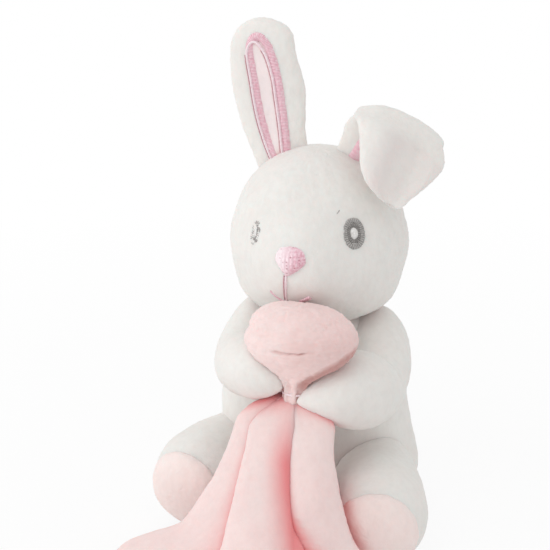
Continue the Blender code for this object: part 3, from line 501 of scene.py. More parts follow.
def band(name, face, path, width, height, stitch, looped=False, slant=0.3, ridge=0.16, sink=0.35, wear_and_highlight=0):
    """A raised band of parallel stitches along a path of (right, up) places on a face."""
    across = 11
    path = [Vector(p) for p in path]
    lengths = [0.0]
    closed = path + path[:1] if looped else path
    for a, b in zip(closed, closed[1:]):
        lengths.append(lengths[-1] + (b - a).length)
    steps = max(int(lengths[-1] / stitch * 4), 8)
    count = max(round(lengths[-1] / stitch), 2)

    def place_at(s):
        if looped:
            s %= lengths[-1]
        return [np.interp(s, lengths, [p[i] for p in closed]) for i in (0, 1)]

    rows, painted_shades = [], []
    for k in range(steps if looped else steps + 1):
        s = lengths[-1] * k / steps
        e = lengths[-1] / steps
        (x, y), (bx, by), (ax, ay) = place_at(s), place_at(s - e), place_at(s + e)
        tangent = Vector((ax - bx, ay - by)).normalized()
        side = Vector((tangent.y, -tangent.x))
        row, shade_marks = [], []
        for j in range(across):
            angle = math.pi * j / (across - 1)
            out = math.cos(angle)
            wave = math.cos(2 * math.pi * (s / lengths[-1] * count + slant * out))
            jitter = 0.12 * noise.noise(Vector((s * 2.3, out * 0.7, stitch)))
            spot = Vector((x, y)) + side * (width / 2 * (out + 0.5 * jitter * math.sin(angle)))
            lift = -sink + (height + sink) * math.sin(angle) + ridge * wave * math.sin(angle)
            lift += wear_and_highlight * 1.6 * noise.noise(Vector((spot.x * 0.55, spot.y * 0.55, 3.3)))
            row.append(face(spot.x, spot.y, lift))
            # painted shade between the stitches, strongest in the dips of the stitch wave
            shade_marks.append(0.5 - 0.5 * wave + 1.5 * jitter)
        row.append(face(x, y, -sink - 0.3))
        rows.append(row)
        painted_shades.append(shade_marks + [0])
    return skin(name, rows, looped, painted_shades)


def oval(width, height, count):
    return [(math.cos(a) * width / 2, math.sin(a) * height / 2) for a in turn(count)]


def dome(name, face, outline, rise, stitch, ridge, rings=26):
    """A filled shape of parallel stitches over an outline of (right, up) places."""
    sink = 0.4
    rows = []
    for k in range(1, rings + 1):
        share = k / rings
        row = []
        for x, y in outline:
            px, py = x * share, y * share
            wave = math.cos(2 * math.pi * (px / stitch + 0.15 * noise.noise(Vector((px, py, 1)))))
            lift = rise * (1 - share**2.6) - sink * share**6
            row.append(face(px, py, lift + ridge * wave * (1 - share**6)))
        rows.append(row)
    rows.append([face(x * 0.6, y * 0.6, -sink - 1.0) for x, y in outline])
    return skin(name, rows)


def build_eyes():
    for name, azimuth, elevation, width, height, sunk, ring, inner, highlight in EYES:
        face = face_of_head(azimuth, elevation)
        path = oval(width - ring, height - ring, 130)
        outer = band(
            f"eye_{name}_outer", face, path, ring, 0.5 - sunk, 0.85, True, 0.1, 0.26, wear_and_highlight=sunk + 0.1
        )
        finish_piece(outer, "head", "thread_light_grey", (f"eye_{name}_outer_ring",))
        path = oval(width - 2 * ring - inner + 0.9, height - 2 * ring - inner + 0.2, 100)
        rim = band(
            f"eye_{name}_inner", face, path, inner, 0.5 - sunk, 0.75, True, 0.1, 0.24, wear_and_highlight=sunk + 0.14
        )
        finish_piece(rim, "head", "thread_grey", (f"eye_{name}_inner_ring",))
        light = dome(f"eye_{name}_light", face, oval(*highlight, 40), 0.95 - 1.4 * sunk, 0.7, ridge=0.16)
        finish_piece(light, "head", "thread_white", (f"eye_{name}_highlight",))


MOUTH_ARCS = (
    # side, places from the nose as (right, up), width, height
    ("right", ((-3.2, -19.6), (-5.4, -19.2), (-7.8, -17.8), (-10.2, -15.4)), 1.3, 0.45),
    ("left", ((3.6, -18.3), (5.2, -17.4), (7.0, -16.3), (8.4, -15.3)), 2.1, 0.5),
)


def build_nose():
    face = face_of_head(NOSE_AZIMUTH, NOSE_ELEVATION)
    outline = []
    for right, up in oval(NOSE_WIDTH, NOSE_HEIGHT, 120):
        low = max(-2 * up / NOSE_HEIGHT, 0)
        corner = 0.8 * bell(abs(right) - 5.2, 2.2) if up > 0 else 0
        outline.append((right * (1 - 0.62 * low**1.2) - 1.0 * low**2, up + corner))
    nose = dome("nose_stitches", face, outline, NOSE_RISE, 1.5, ridge=0.14, rings=40)
    finish_piece(nose, "head", "satin_pink", ("nose",), material="satin_nose")
    # the mouth line: a dark painted shadow line on its left, then a pale painted highlight thread
    path = smooth_curve([(-0.9, -5.9), (-1.2, -9), (-1.6, -12.5), (-2.0, -16.5), (-2.2, -18.6)], 6)
    first_path = [(x - 1.2, y) for x, y in path]
    first = band("mouth_shadow_line", face, first_path, 0.6, 0.45, 1.6, slant=0.9, ridge=0.08)
    finish_piece(first, "head", "satin_pink", ("mouth_line",), material="satin_shadow_line")
    second_path = [(x - 0.35, y) for x, y in path]
    second = band("mouth_highlight_thread", face, second_path, 1.1, 0.5, 1.6, slant=0.9, ridge=0.08)
    finish_piece(second, "head", "satin_pink", (), material="satin_cord_and_highlight")
    for side, places, width, height in MOUTH_ARCS:
        path = smooth_curve(places, 6)
        arc = band(f"mouth_{side}_stitch", face, path, width, height, 1.1, slant=0.9, ridge=0.12)
        finish_piece(arc, "head", "satin_pink", (f"mouth_{side}_arc",))


def build_brow():
    face = face_of_head(EYES[0][1], EYES[0][2])
    path = [(-6.6, 8.1), (-6.1, 8.6), (-5.7, 9.0), (-5.3, 9.5)]
    brow = band("brow_thread", face, path, 0.6, 0.1, 0.9, slant=0.8, ridge=0.06)
    finish_piece(brow, "head", "thread_light_grey", ("brow_stitch",))


# Upright ear, in its root's own frame: X across, -Y the inner side, Z up

EAR_FRAME = Matrix.Translation(Vector((-16.467, 1.073, 158.314))) @ Matrix.Rotation(math.radians(-14), 4, "Y")
EAR_LEFT = ((-9, -3, 2, 7, 16, 25, 33, 40.4, 45.8, 49, 51.6, 53.4, 54.5, 54.9),
            (-12.6, -13.2, -14.0, -14.8, -15.6, -15.7, -15.1, -13.8, -12.2, -10.4, -8.0, -5.2, -2.0, 1.2))
EAR_RIGHT = ((-9, -3, 2, 7, 13, 19.4, 25, 32.4, 37, 41, 45.3, 48.4, 51.2, 53.4, 54.5, 54.9),
             (9.8, 10.3, 10.5, 11.2, 12.8, 14.3, 14.9, 14.6, 14.4, 14.9, 15.2, 13.9, 11.0, 7.4, 4.2, 1.6))
EAR_TIP = 54.9
EAR_THICKNESS = 8.4
EAR_START, EAR_ROUNDING, EAR_POWER = -9, 38, 2.3


def ear_thickness(up):
    full = mix(6.4, EAR_THICKNESS, ease(up / 28)) / 2
    if up > EAR_ROUNDING:
        full *= math.sqrt(max(1 - ((up - EAR_ROUNDING) / (EAR_TIP - EAR_ROUNDING)) ** 2.6, 0.0001))
    return full


def ear_section(up):
    """The middle and half width of the ear's section at a height."""
    left, right = along(up, *EAR_LEFT), along(up, *EAR_RIGHT)
    return (left + right) / 2, max((right - left) / 2, 0.3)


def ear_dish(aside, up):
    """How far the ear's inner side is hollow."""
    return 0.9 * bell(aside + 0.6, 6.5) * ease(up / 8) * ease((50 - up) / 10)


def ear_front(right, up, lift):
    """A point on the inner side of the upright ear."""
    middle, half = ear_section(up)
    side = min(abs(right - middle) / half, 0.999)
    deep = ear_thickness(up) * (1 - side**EAR_POWER) ** (1 / EAR_POWER)
    return EAR_FRAME @ Vector((right, -deep + ear_dish(right - middle, up) - lift, up))


def superellipse(angle, power):
    """A point on a rounded square of half side 1."""
    c, s = math.cos(angle), math.sin(angle)
    return (math.copysign(abs(c) ** (2 / power), c), math.copysign(abs(s) ** (2 / power), s))


def build_upright_ear():
    rows = []
    levels = [EAR_START + k * 0.9 for k in range(52)]
    levels += [EAR_ROUNDING + 16.85 * math.sin(k / 26 * math.pi / 2) for k in range(1, 27)]
    for up in sorted(levels):
        middle, half = ear_section(up)
        thick = ear_thickness(up)
        row = []
        for a in turn(96):
            x, y = superellipse(a, EAR_POWER)
            px = middle + half * x
            dish = ear_dish(px - middle, up) if y < 0 else 0
            row.append((px, thick * y + dish, up))
        rows.append(row)
    ear = skin("ear_upright", rows)
    place(ear, EAR_FRAME)
    roughen(ear, PILE, 3)
    finish_piece(ear, "ear_upright", "plush_white", ("ear_upright_cover", "ear_upright_filling"))
    build_ear_border()


BORDER = (
    (-3.2, -5.5), (-4.1, -1), (-5.1, 6), (-5.4, 14), (-5.0, 22), (-4.3, 30), (-3.9, 37), (-3.6, 41.5),
    (-2.4, 45.6), (-0.1, 47.7), (2.6, 46.8), (4.4, 43.4), (5.2, 38.5), (5.5, 30), (4.8, 22), (3.9, 14),
    (2.8, 6), (1.9, -1.3), (1.5, -5.0),
)
# a pale band along the left-facing edge of the border, where light catches the raised satin: a painted
# highlight
HIGHLIGHT_EDGE = (
    (-4.7, -5.5), (-5.6, -1), (-6.6, 6), (-6.9, 14), (-6.5, 22), (-5.8, 30), (-5.3, 37), (-4.8, 41.5),
    (-3.3, 44.8), (-1.0, 46.1), (0.9, 44.9), (2.2, 42), (3.2, 38), (3.6, 30), (2.8, 22), (1.9, 14),
    (0.85, 6), (0.0, -1.3), (-0.4, -5.0),
)
SHADOW_LINE_SHIFT = 0.95


def build_ear_border():
    path = smooth_curve(BORDER, 10)
    border = band("ear_upright_satin", ear_front, path, 3.7, 0.9, 0.62, slant=0.35, ridge=0.12, sink=0.5)
    finish_piece(border, "ear_upright", "satin_pink", ("ear_upright_border",))
    # the painted highlight along the border's left-facing edge
    path = smooth_curve(HIGHLIGHT_EDGE, 10)
    highlight_edge = band("ear_upright_painted_highlight", ear_front, path, 1.35, 1.45, 0.62, slant=0.5, ridge=0.14, sink=0.3)
    finish_piece(highlight_edge, "ear_upright", "satin_pink", (), material="satin_cord_and_highlight")
    # painted shadow: a dark line along the left side of each painted highlight
    for side, points in (("left", HIGHLIGHT_EDGE[:8]), ("right", HIGHLIGHT_EDGE[11:])):
        path = smooth_curve([(x - SHADOW_LINE_SHIFT, y) for x, y in points], 10)
        name = f"ear_upright_shadow_line_{side}"
        shadow_line = band(name, ear_front, path, 0.6, 0.75, 0.62, slant=0.5, ridge=0.1, sink=0.3)
        finish_piece(shadow_line, "ear_upright", "satin_pink", (), material="satin_shadow_line")
    rows = []
    for k in range(64):
        up = mix(-4.5, 45.6, k / 63)
        left, right = border_sides(up)
        across = [mix(left, right, j / 10) for j in range(11)]
        top = [ear_front(x, up, 0.35 * (1 - abs(2 * j / 10 - 1) ** 3) + 0.1) for j, x in enumerate(across)]
        rows.append(top + [ear_front(x, up, -0.8) for x in reversed(across)])
    lining = skin("ear_upright_panel", rows)
    roughen(lining, SHORT_PILE, 4)
    finish_piece(lining, "ear_upright", "plush_pale_pink", ("ear_upright_lining",), material="lining")


def border_sides(up):
    """Where the border's two sides stand at a height."""
    left = [p for p in BORDER if p[0] <= 0.6]
    right = sorted((p for p in BORDER if p[0] >= 0.6), key=lambda p: p[1])
    return [along(up, [y for _, y in side], [x for x, _ in side]) for side in (left, right)]


# Folded ear, in its root's own frame: it rises, rolls over the crease and hangs forwards

FOLDED_FRAME = Matrix.Translation(Vector((20.19, -3.0, 156.601))) @ Matrix.Rotation(math.radians(31), 4, "Y")
CREASE_OPEN = math.radians(33)
CREASE_TURN = math.radians(-5)
CREASE_PLACE = Vector((5.47, -5.0, 24.3))
ROLL = 2.5
FOLDED_POWER = 2.4
BASE_START, BASE_TOP = -8, 23.5
BASE_SIDES = ((-8, -4, 0, 5, 10, 16, 20, 23.5),
              (-12.2, -13.2, -13.8, -14.7, -15.6, -15.9, -15.6, -14.8),
              (8.6, 9.6, 11, 13.4, 15.8, 18.2, 19.4, 20.0))
FLAP_SIDES = ((0, 2.3, 6, 11, 16, 21, 25, 28, 30.5, 32.3, 33.5, 34.2),
              (-20.2, -20.4, -19.8, -17.0, -13.8, -11.1, -9.2, -7.0, -3.8, -0.2, 4.0, 9.0),
              (17.0, 18.8, 20.4, 20.9, 20.0, 18.3, 16.8, 15.6, 14.9, 14.2, 13.2, 10.6))
# how far the crease sinks at each place across it
DROOP = ((-15, -12.5, -10, -8, -6, -2.3, 1.4, 8, 15, 18, 21, 24),
         (8.0, 6.7, 5.4, 4.3, 3.6, 2.9, 2.6, 2.6, 2.6, 2.8, 3.3, 4.2))


def sides_at(value, table):
    return along(value, table[0], table[1]), along(value, table[0], table[2])


def base_thickness(up):
    return along(up, (BASE_START, 0, 12, 20, BASE_TOP), (2.8, 3.2, 3.7, 3.0, 2.5))


def flap_thickness(drop):
    full = along(drop, (0, 5, 12, 22, 28), (2.5, 3.3, 4.3, 4.3, 3.9))
    if drop > 26:
        full *= math.sqrt(max(1 - ((drop - 26) / 8.3) ** 2.4, 0.0004))
    return full


def folded_stations():
    """Sections as (middle, across, normal, left, right, half thickness), from the root to the flap's tip."""
    turned = Matrix.Rotation(CREASE_TURN, 3, "Y")
    stations = []
    for k in range(34):
        up = mix(BASE_START, BASE_TOP, k / 33)
        share = max(up, 0) / BASE_TOP
        middle = Vector((0, mix(0, CREASE_PLACE.y + ROLL, share), up))
        across = Matrix.Rotation(CREASE_TURN * share, 3, "Y") @ Vector((1, 0, 0))
        left, right = sides_at(up, BASE_SIDES)
        stations.append((middle, across, Vector((0, 1, 0)), left, right, base_thickness(up)))
    across = turned @ Vector((1, 0, 0))
    lean = math.pi - CREASE_OPEN
    for k in range(1, 14):
        angle = lean * k / 14
        out = Vector((0, math.cos(angle), math.sin(angle)))
        middle = Vector((0, CREASE_PLACE.y, CREASE_PLACE.z - 0.5)) + out * ROLL
        share = k / 14
        left = mix(BASE_SIDES[1][-1], FLAP_SIDES[1][0] + CREASE_PLACE.x, share)
        right = mix(BASE_SIDES[2][-1], FLAP_SIDES[2][0] + CREASE_PLACE.x, share)
        stations.append((middle, across, turned @ out, left, right, 2.5))
    down = turned @ Vector((0, -math.sin(CREASE_OPEN), -math.cos(CREASE_OPEN)))
    front = turned @ Vector((0, -math.cos(CREASE_OPEN), math.sin(CREASE_OPEN)))
    start = Vector((0, CREASE_PLACE.y, CREASE_PLACE.z - 0.5)) + front * ROLL
    drops = [k * 0.8 for k in range(32)]
    drops += [25.6 + 8.55 * math.sin(k / 18 * math.pi / 2) for k in range(1, 19)]
    for drop in drops:
        bulge = 1.6 * ease(drop / 9)
        middle = start + down * drop + front * bulge
        left, right = (side + CREASE_PLACE.x for side in sides_at(drop, FLAP_SIDES))
        stations.append((middle, across, front, left, right, flap_thickness(drop)))
    return stations


def build_folded_ear():
    rows, painted_shades = [], []
    for i, (middle, across, normal, left, right, thick) in enumerate(folded_stations()):
        row, shade_marks = [], []
        near = ease((i - 8) / 26) if i < 42 else bell(i - 42, 16)
        for a in turn(88):
            x, y = superellipse(a, FOLDED_POWER)
            px = mix(left, right, (x + 1) / 2)
            point = middle + across * px + normal * (thick * -y)
            point.z -= along(px, *DROOP) * near
            if i > 47:
                inner = px - 2.0 - 0.05 * (i - 60)
                valley = 5 * ease(inner / 14) - 1.9 * ease((inner - 13) / 10) - bell(px + 3, 7)
                valley *= ease((i - 47) / 12)
                point -= normal * (valley * (0.6 - 0.4 * y))
            row.append(point)
            # painted shadow: a broad dark band down the front of the flap, half as strong further right
            flap_shadow = max(bell(px - 5.5, 6), 0.5 * ease((px - 5) / 3))
            shade_marks.append(flap_shadow * ease((i - 52) / 8) * ease(-2 * y))
        rows.append(row)
        painted_shades.append(shade_marks)
    ear = skin("ear_folded", rows, painted_shades=painted_shades)
    place(ear, FOLDED_FRAME)
    roughen(ear, PILE, 5)
    finish_piece(ear, None, "plush_white",
                 ("ear_folded_cover", "ear_folded_filling", "ear_flap_cover", "ear_flap_filling"))
    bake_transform(ear)
    build_folded_border()


def folded_face(right, up, lift):
    """A point on the inner side of the folded ear's base."""
    near, far = sides_at(up, BASE_SIDES)
    middle, half = (near + far) / 2, (far - near) / 2
    side = min(abs(right - middle) / half, 0.999)
    thick = base_thickness(up) * (1 - side**FOLDED_POWER) ** (1 / FOLDED_POWER)
    share = max(up, 0) / BASE_TOP
    return FOLDED_FRAME @ Vector((right, mix(0, CREASE_PLACE.y + ROLL, share) - thick - lift, up))


def build_folded_border():
    for side, x, width in (("inner", -5.0, 5.6), ("outer", 5.6, 3.4)):
        path = [(x, -5.5 + k) for k in range(20)]
        name = f"ear_folded_satin_{side}"
        border = band(name, folded_face, path, width, 0.9, 0.6, slant=0.35, ridge=0.12)
        finish_piece(border, "ear_folded", "satin_pink", (f"ear_folded_border_{side}",))
    rows = []
    for k in range(24):
        up = -5 + k * 0.8
        across = [mix(-6.2, 5.5, j / 8) for j in range(9)]
        top = [folded_face(x, up, 0.3) for x in across]
        rows.append(top + [folded_face(x, up, -0.8) for x in reversed(across)])
    panel = skin("ear_folded_panel", rows)
    roughen(panel, SHORT_PILE, 6)
    finish_piece(panel, "ear_folded", "plush_pale_pink", ("ear_folded_lining",), material="lining")


# Arms

ARMS = (
    # side, seed, places with their radius from the shoulder to the paw, the paw's end and its fullness
    ("left", 7, (
        (6, 8, 74, 8), (13, 6, 78, 10.5), (24.4, -2, 80, 12.6), (29, -15, 74, 13.8),
        (28.6, -29, 67.5, 14.2), (26, -40, 70.6, 16.0), (20.5, -48, 72.4, 14.4),
    ), (4.6, -58.5, 71), 1.25, 0.8),
    ("right", 8, (
        (-6, 8, 76, 8), (-13, 6, 80, 10.5), (-22.5, -2, 82, 12.4), (-25.5, -15, 77.5, 13.2),
        (-24.5, -30, 74, 13.4), (-19.5, -41.5, 77, 13.3), (-13.5, -49.5, 78.5, 11.8),
    ), (-2.2, -58, 76), 1.7, 0.62),
)


def tube_rows(places, tip, power, fullness):
    """Rings along an arm, and on to the rounded end of its paw."""
    segments, tip_rings = 88, 26
    path = smooth_curve(places, 9)
    upward = np.array((0, 0, 1.0))
    sections = []
    for i, item in enumerate(path):
        step = path[min(i + 1, len(path) - 1)][:3] - path[max(i - 1, 0)][:3]
        sections.append((item[:3], step, item[3]))
    start, step, radius = sections[-1]
    forward = step / np.linalg.norm(step)
    tip = np.array(tip)
    reach = np.linalg.norm(tip - start)
    for k in range(1, tip_rings):
        t = math.sin(k / tip_rings * math.pi / 2)
        straight = start + forward * reach * t
        centre = straight + (tip - start - forward * reach) * t**1.6
        ahead = forward + (tip - start - forward * reach) / reach * 1.6 * t**0.6
        sections.append((centre, ahead, radius * (1 - t**power) ** fullness))
    rows = []
    for centre, step, radius in sections:
        ahead = step / np.linalg.norm(step)
        side = np.cross(ahead, upward)
        side /= np.linalg.norm(side)
        up = np.cross(side, ahead)
        rows.append([centre + (side * math.cos(a) + up * math.sin(a)) * radius for a in turn(segments)])
    return rows


def build_arms():
    for side, seed, places, tip, power, fullness in ARMS:
        arm = skin(f"arm_{side}", tube_rows(places, tip, power, fullness))
        roughen(arm, PILE, seed)
        finish_piece(arm, "torso", "plush_white", (f"arm_{side}_cover", f"arm_{side}_filling"))


# Legs

LEG_LENGTH, FOOT_WIDTH, SOLE_WIDTH, HIP_RADIUS, LEG_DROP = 41, 42, 35, 17, 2.5
HIP_HEIGHT = FOOT_WIDTH / 2 + LEG_DROP - 0.5
LEGS = (
    # side, hip, splay, seed, lowering of the top, spread near the ground
    ("left", (31, -22, HIP_HEIGHT), 10, 9, 0.0, 0.02),
    ("right", (-33, -8, HIP_HEIGHT), -18, 11, 0.09, 0.09),
)
SEAM_DEPTH, SOLE_BULGE = 1.0, 7.2
TAIL_RADIUS, TAIL_HALF_HEIGHT, TAIL_LEVEL, TAIL_BACK = 10.2, 10, 22, 39


def leg_radius(out):
    foot, sole = FOOT_WIDTH / 2, SOLE_WIDTH / 2
    widest = LEG_LENGTH * 0.7
    if out < 0:
        return math.sqrt(max(HIP_RADIUS**2 - out * out, 0.04))
    if out < widest:
        return mix(HIP_RADIUS, foot, math.sin(out / widest * math.pi / 2))
    return mix(foot, sole, ((out - widest) / (LEG_LENGTH - widest)) ** 2)


def leg_ring(out, radius, flat, spread, pucker=0.0):
    """One ring of a leg in its hip's own frame, where the leg points to -Y."""
    sink = -LEG_DROP * max(out, 0) / LEG_LENGTH
    ring = []
    for a in turn(112):
        r = radius + pucker * math.cos(14 * a)
        x = r * math.cos(a) * (1 + spread * bell(math.sin(a) + 0.6, 0.5))
        ring.append((x, -out, sink + r * math.sin(a) * (1 - flat * ease(math.sin(a)))))
    return ring


def build_legs():
    for side, hip, splay, seed, flat, spread in LEGS:
        matrix = Matrix.Translation(Vector(hip)) @ Matrix.Rotation(math.radians(splay), 4, "Z")
        rows = []
        for k in range(1, 16):
            angle = -math.pi / 2 + k / 16 * math.pi / 2
            rows.append(leg_ring(HIP_RADIUS * math.sin(angle), HIP_RADIUS * math.cos(angle), flat, spread))
        for k in range(46):
            out = LEG_LENGTH * k / 45
            rows.append(leg_ring(out, leg_radius(out), flat, spread))
        edge = SOLE_WIDTH / 2
        for k in range(1, 5):
            radius = edge - SEAM_DEPTH * (k / 4) ** 2
            rows.append(leg_ring(LEG_LENGTH + 0.35 * k, radius, flat, spread, 0.12 * k / 4))
        rows.append(leg_ring(LEG_LENGTH + 1.2, edge - 5, flat, spread))
        leg = skin(f"leg_{side}", rows)
        place(leg, matrix)
        roughen(leg, PILE, seed)
        floor_limit(leg)
        replaced = (f"leg_{side}_cover", f"leg_{side}_filling")
        finish_piece(leg, f"leg_{side}", "plush_white", replaced)
        rows = [leg_ring(LEG_LENGTH - 1.0, edge - 4, flat, spread)]
        rows.append(leg_ring(LEG_LENGTH + 0.9, edge - SEAM_DEPTH - 0.5, flat, spread))
        for k in range(30):
            t = k / 30
            share = math.cos(t * math.pi / 2)
            bulge = SOLE_BULGE * math.sin(t * math.pi / 2) ** 1.15
            radius = edge * share**0.8 * 0.985
            rows.append(leg_ring(LEG_LENGTH + 1.2 + bulge, radius, flat, spread, 0.14 * bell(t, 0.2)))
        sole = skin(f"sole_{side}", rows)
        place(sole, matrix)
        roughen(sole, SHORT_PILE, seed + 1)
        floor_limit(sole)
        finish_piece(sole, f"leg_{side}", "plush_pale_pink", (f"leg_{side}_sole",))


def build_tail():
    rows = []
    for k in range(1, 40):
        angle = -math.pi / 2 + math.pi * k / 40
        radius, height = TAIL_RADIUS * math.cos(angle), TAIL_LEVEL + TAIL_HALF_HEIGHT * math.sin(angle)
        rows.append([(radius * math.cos(a), TAIL_BACK + radius * math.sin(a), height) for a in turn(72)])
    tail = skin("tail_ball", rows)
    roughen(tail, ((1.3, 0.4), (3, 0.5), (8, 0.5)), 13)
    finish_piece(tail, "torso", "plush_white", ("tail",))


# Blanket: the tuft above the paws, then the skirt that falls from them

TUFT_LEVELS = (
    # height, middle x, middle y, half width, half depth
    (66, 2.5, -53, 5.6, 5.0), (73, 2.6, -53, 5.4, 5.0), (77, 2.9, -53, 6.2, 5.6),
    (80, 3.4, -53, 8.2, 6.8), (83.5, 4.2, -53, 12.4, 8.8), (87, 4.8, -52.9, 17.2, 11.0),
    (91, 4.9, -52.8, 21.0, 13.0), (95, 4.6, -52.5, 22.6, 13.6), (98.5, 4.5, -52.1, 22.2, 13.0),
    (101.8, 4.4, -51.5, 20.8, 11.6), (104.8, 4.2, -50.9, 18.6, 9.8), (107, 4.0, -50.4, 15.4, 7.6),
    (108.6, 3.8, -50.0, 10.4, 4.8), (109.1, 3.8, -49.8, 3.0, 1.6),
)


def tuft_crease(height, x, front):
    """How far a crease presses in at a place. The upper one runs right round, the lower one is short."""
    upper = 0.75 * bell(height - 102.2 - 0.13 * (x - 4), 1.8)
    line = 94.7 + 0.08 * (x - 4) + 0.008 * (x - 4) ** 2
    lower = 1.1 * bell(height - line, 0.5) * ease((9.5 - abs(x - 3.2)) / 5) * front
    return upper, lower


def build_tuft():
    levels = smooth_curve(TUFT_LEVELS, 9)
    rows, painted_shades = [], []
    for height, mx, my, wide, deep in levels:
        row, shade_marks = [], []
        for a in turn(168):
            x, y = superellipse(a, 2.25)
            front = ease(-y + 0.3)
            pleat = 0.55 * math.cos(9 * a + 0.8) * bell(height - 78, 7)
            upper, lower = tuft_crease(height, mx + wide * x, front)
            press = upper + lower
            keep_x = max(wide + pleat - press, 0.5)
            keep_y = max(deep + pleat - press, 0.4)
            row.append((mx + keep_x * x, my + keep_y * y, height))
            side = mx + wide * x
            # painted shade: under the tuft's lower right, along its lower crease, and a band across its
            # middle that darkens to the right
            under = ease((79.3 + 0.68 * side - height) / 4) * ease((side - 2) / 6) * ease((height - 72) / 5)
            under *= ease(0.8 - y)
            shade = (0.08 + 0.2 * bell(height - 96, 6)) * ease((side + 3) / 9)
            shade_marks.append(max(under, 0.12 * ease(lower), shade))
        rows.append(row)
        painted_shades.append(shade_marks)
    tuft = skin("blanket_bunch", rows, painted_shades=painted_shades)
    roughen(tuft, ((1.2, 0.4), (4, 0.3), (15, 0.9)), 14)
    finish_piece(tuft, "torso", "plush_pink", ("blanket_tuft",), material="pink_bunch")
    return tuft, build_thread()


THREAD_MIDDLE, THREAD_WIDE, THREAD_DEEP, THREAD_RADIUS = Vector((2.6, -53, 73.4)), 5.1, 4.7, 0.45


def build_thread():
    rows = []
    for a in turn(96):
        out = Vector((math.cos(a), math.sin(a), 0))
        wobble = 0.12 * math.cos(24 * a)
        centre = THREAD_MIDDLE + Vector((THREAD_WIDE * out.x, THREAD_DEEP * out.y, 0))
        rows.append([
            centre + out * ((THREAD_RADIUS + wobble) * math.cos(b))
            + Vector((0, 0, THREAD_RADIUS * math.sin(b)))
            for b in turn(10)
        ])
    thread = skin("tie_thread", rows, looped=True)
    return finish_piece(thread, "torso", "satin_pink", ("gathering_thread",), material="satin_cord_and_highlight")


GRIP = (1.5, -57.5, 63)
BLANKET_SIDE, TUFT_CLOTH, SKIRT_FALL, FALL_POWER = 200, 28, 87, 1.5
LEFT_REACH, RIGHT_REACH, FRONT_REACH, BACK_REACH = 22.5, 44, 44, 7
SKIRT_LEAN, LEAN_POWER = 27, 0.65
HALF_LAYER = 1.65
SKIRT_FLOOR = HALF_LAYER + 0.3
CLOTH_TURN = math.radians(15)
TOP_LEFT, TOP_RIGHT, TOP_DEEP = 17, 18, 7.5
CORNER_REACH, CORNER_ANGLE, CORNER_SPREAD = 13, -59, 38
# shares of the cloth's length from the paws to the hem
PLACES = (0, 0.1, 0.25, 0.5, 0.75, 1)
CREASES = (
    # crease angles in degrees at PLACES
    (-172,) * 6,
    (-154,) * 6,
    (-136,) * 6,
    (-118, -118, -118, -117, -114, -112),
    (-100, -100, -98, -96, -94, -92),
    (-54, -51, -47, -39, -32.5, -26),
    (16, 18, 28, 52, 73, 84),
    (112, 112, 112, 114, 116, 118),
    (128, 128, 128, 128, 129, 130),
    (142, 142, 142, 142, 142, 143),
    (156,) * 6,
    (171,) * 6,
)
# how deep the creases go and how far the folds swell, at PLACES
PLEAT = (0.2, 0.46, 0.64, 0.67, 0.66, 0.6)
SWELL = (0.5, 1.8, 3.4, 4.3, 4.3, 3.4)
# how open a fold is, its skew, the strength of its painted shade, and where across it that starts
PLAIN_FOLD = (0.7, 1, 0.7, 0.6)
FRONT_FOLDS = ((0.95, 0.75, 0.75, 0.62), (1.0, 0.74, 1.1, 0.44), (0.9, 0.85, 0.45, 0.6))
FOLDS = (PLAIN_FOLD,) * 4 + FRONT_FOLDS + (PLAIN_FOLD,) * 5
FOLD_COLUMNS = 40
SKIRT_ROWS = 92


def ramp(values):
    """The same as ease, for arrays."""
    t = np.clip(values, 0, 1)
    return t * t * (3 - 2 * t)


def cloth_length(angle):
    """From the tuft to the hem of the square cloth, along each direction."""
    c, s = np.abs(np.cos(angle + CLOTH_TURN)), np.abs(np.sin(angle + CLOTH_TURN))
    return BLANKET_SIDE / 2 / (c**14 + s**14) ** (1 / 14) - TUFT_CLOTH


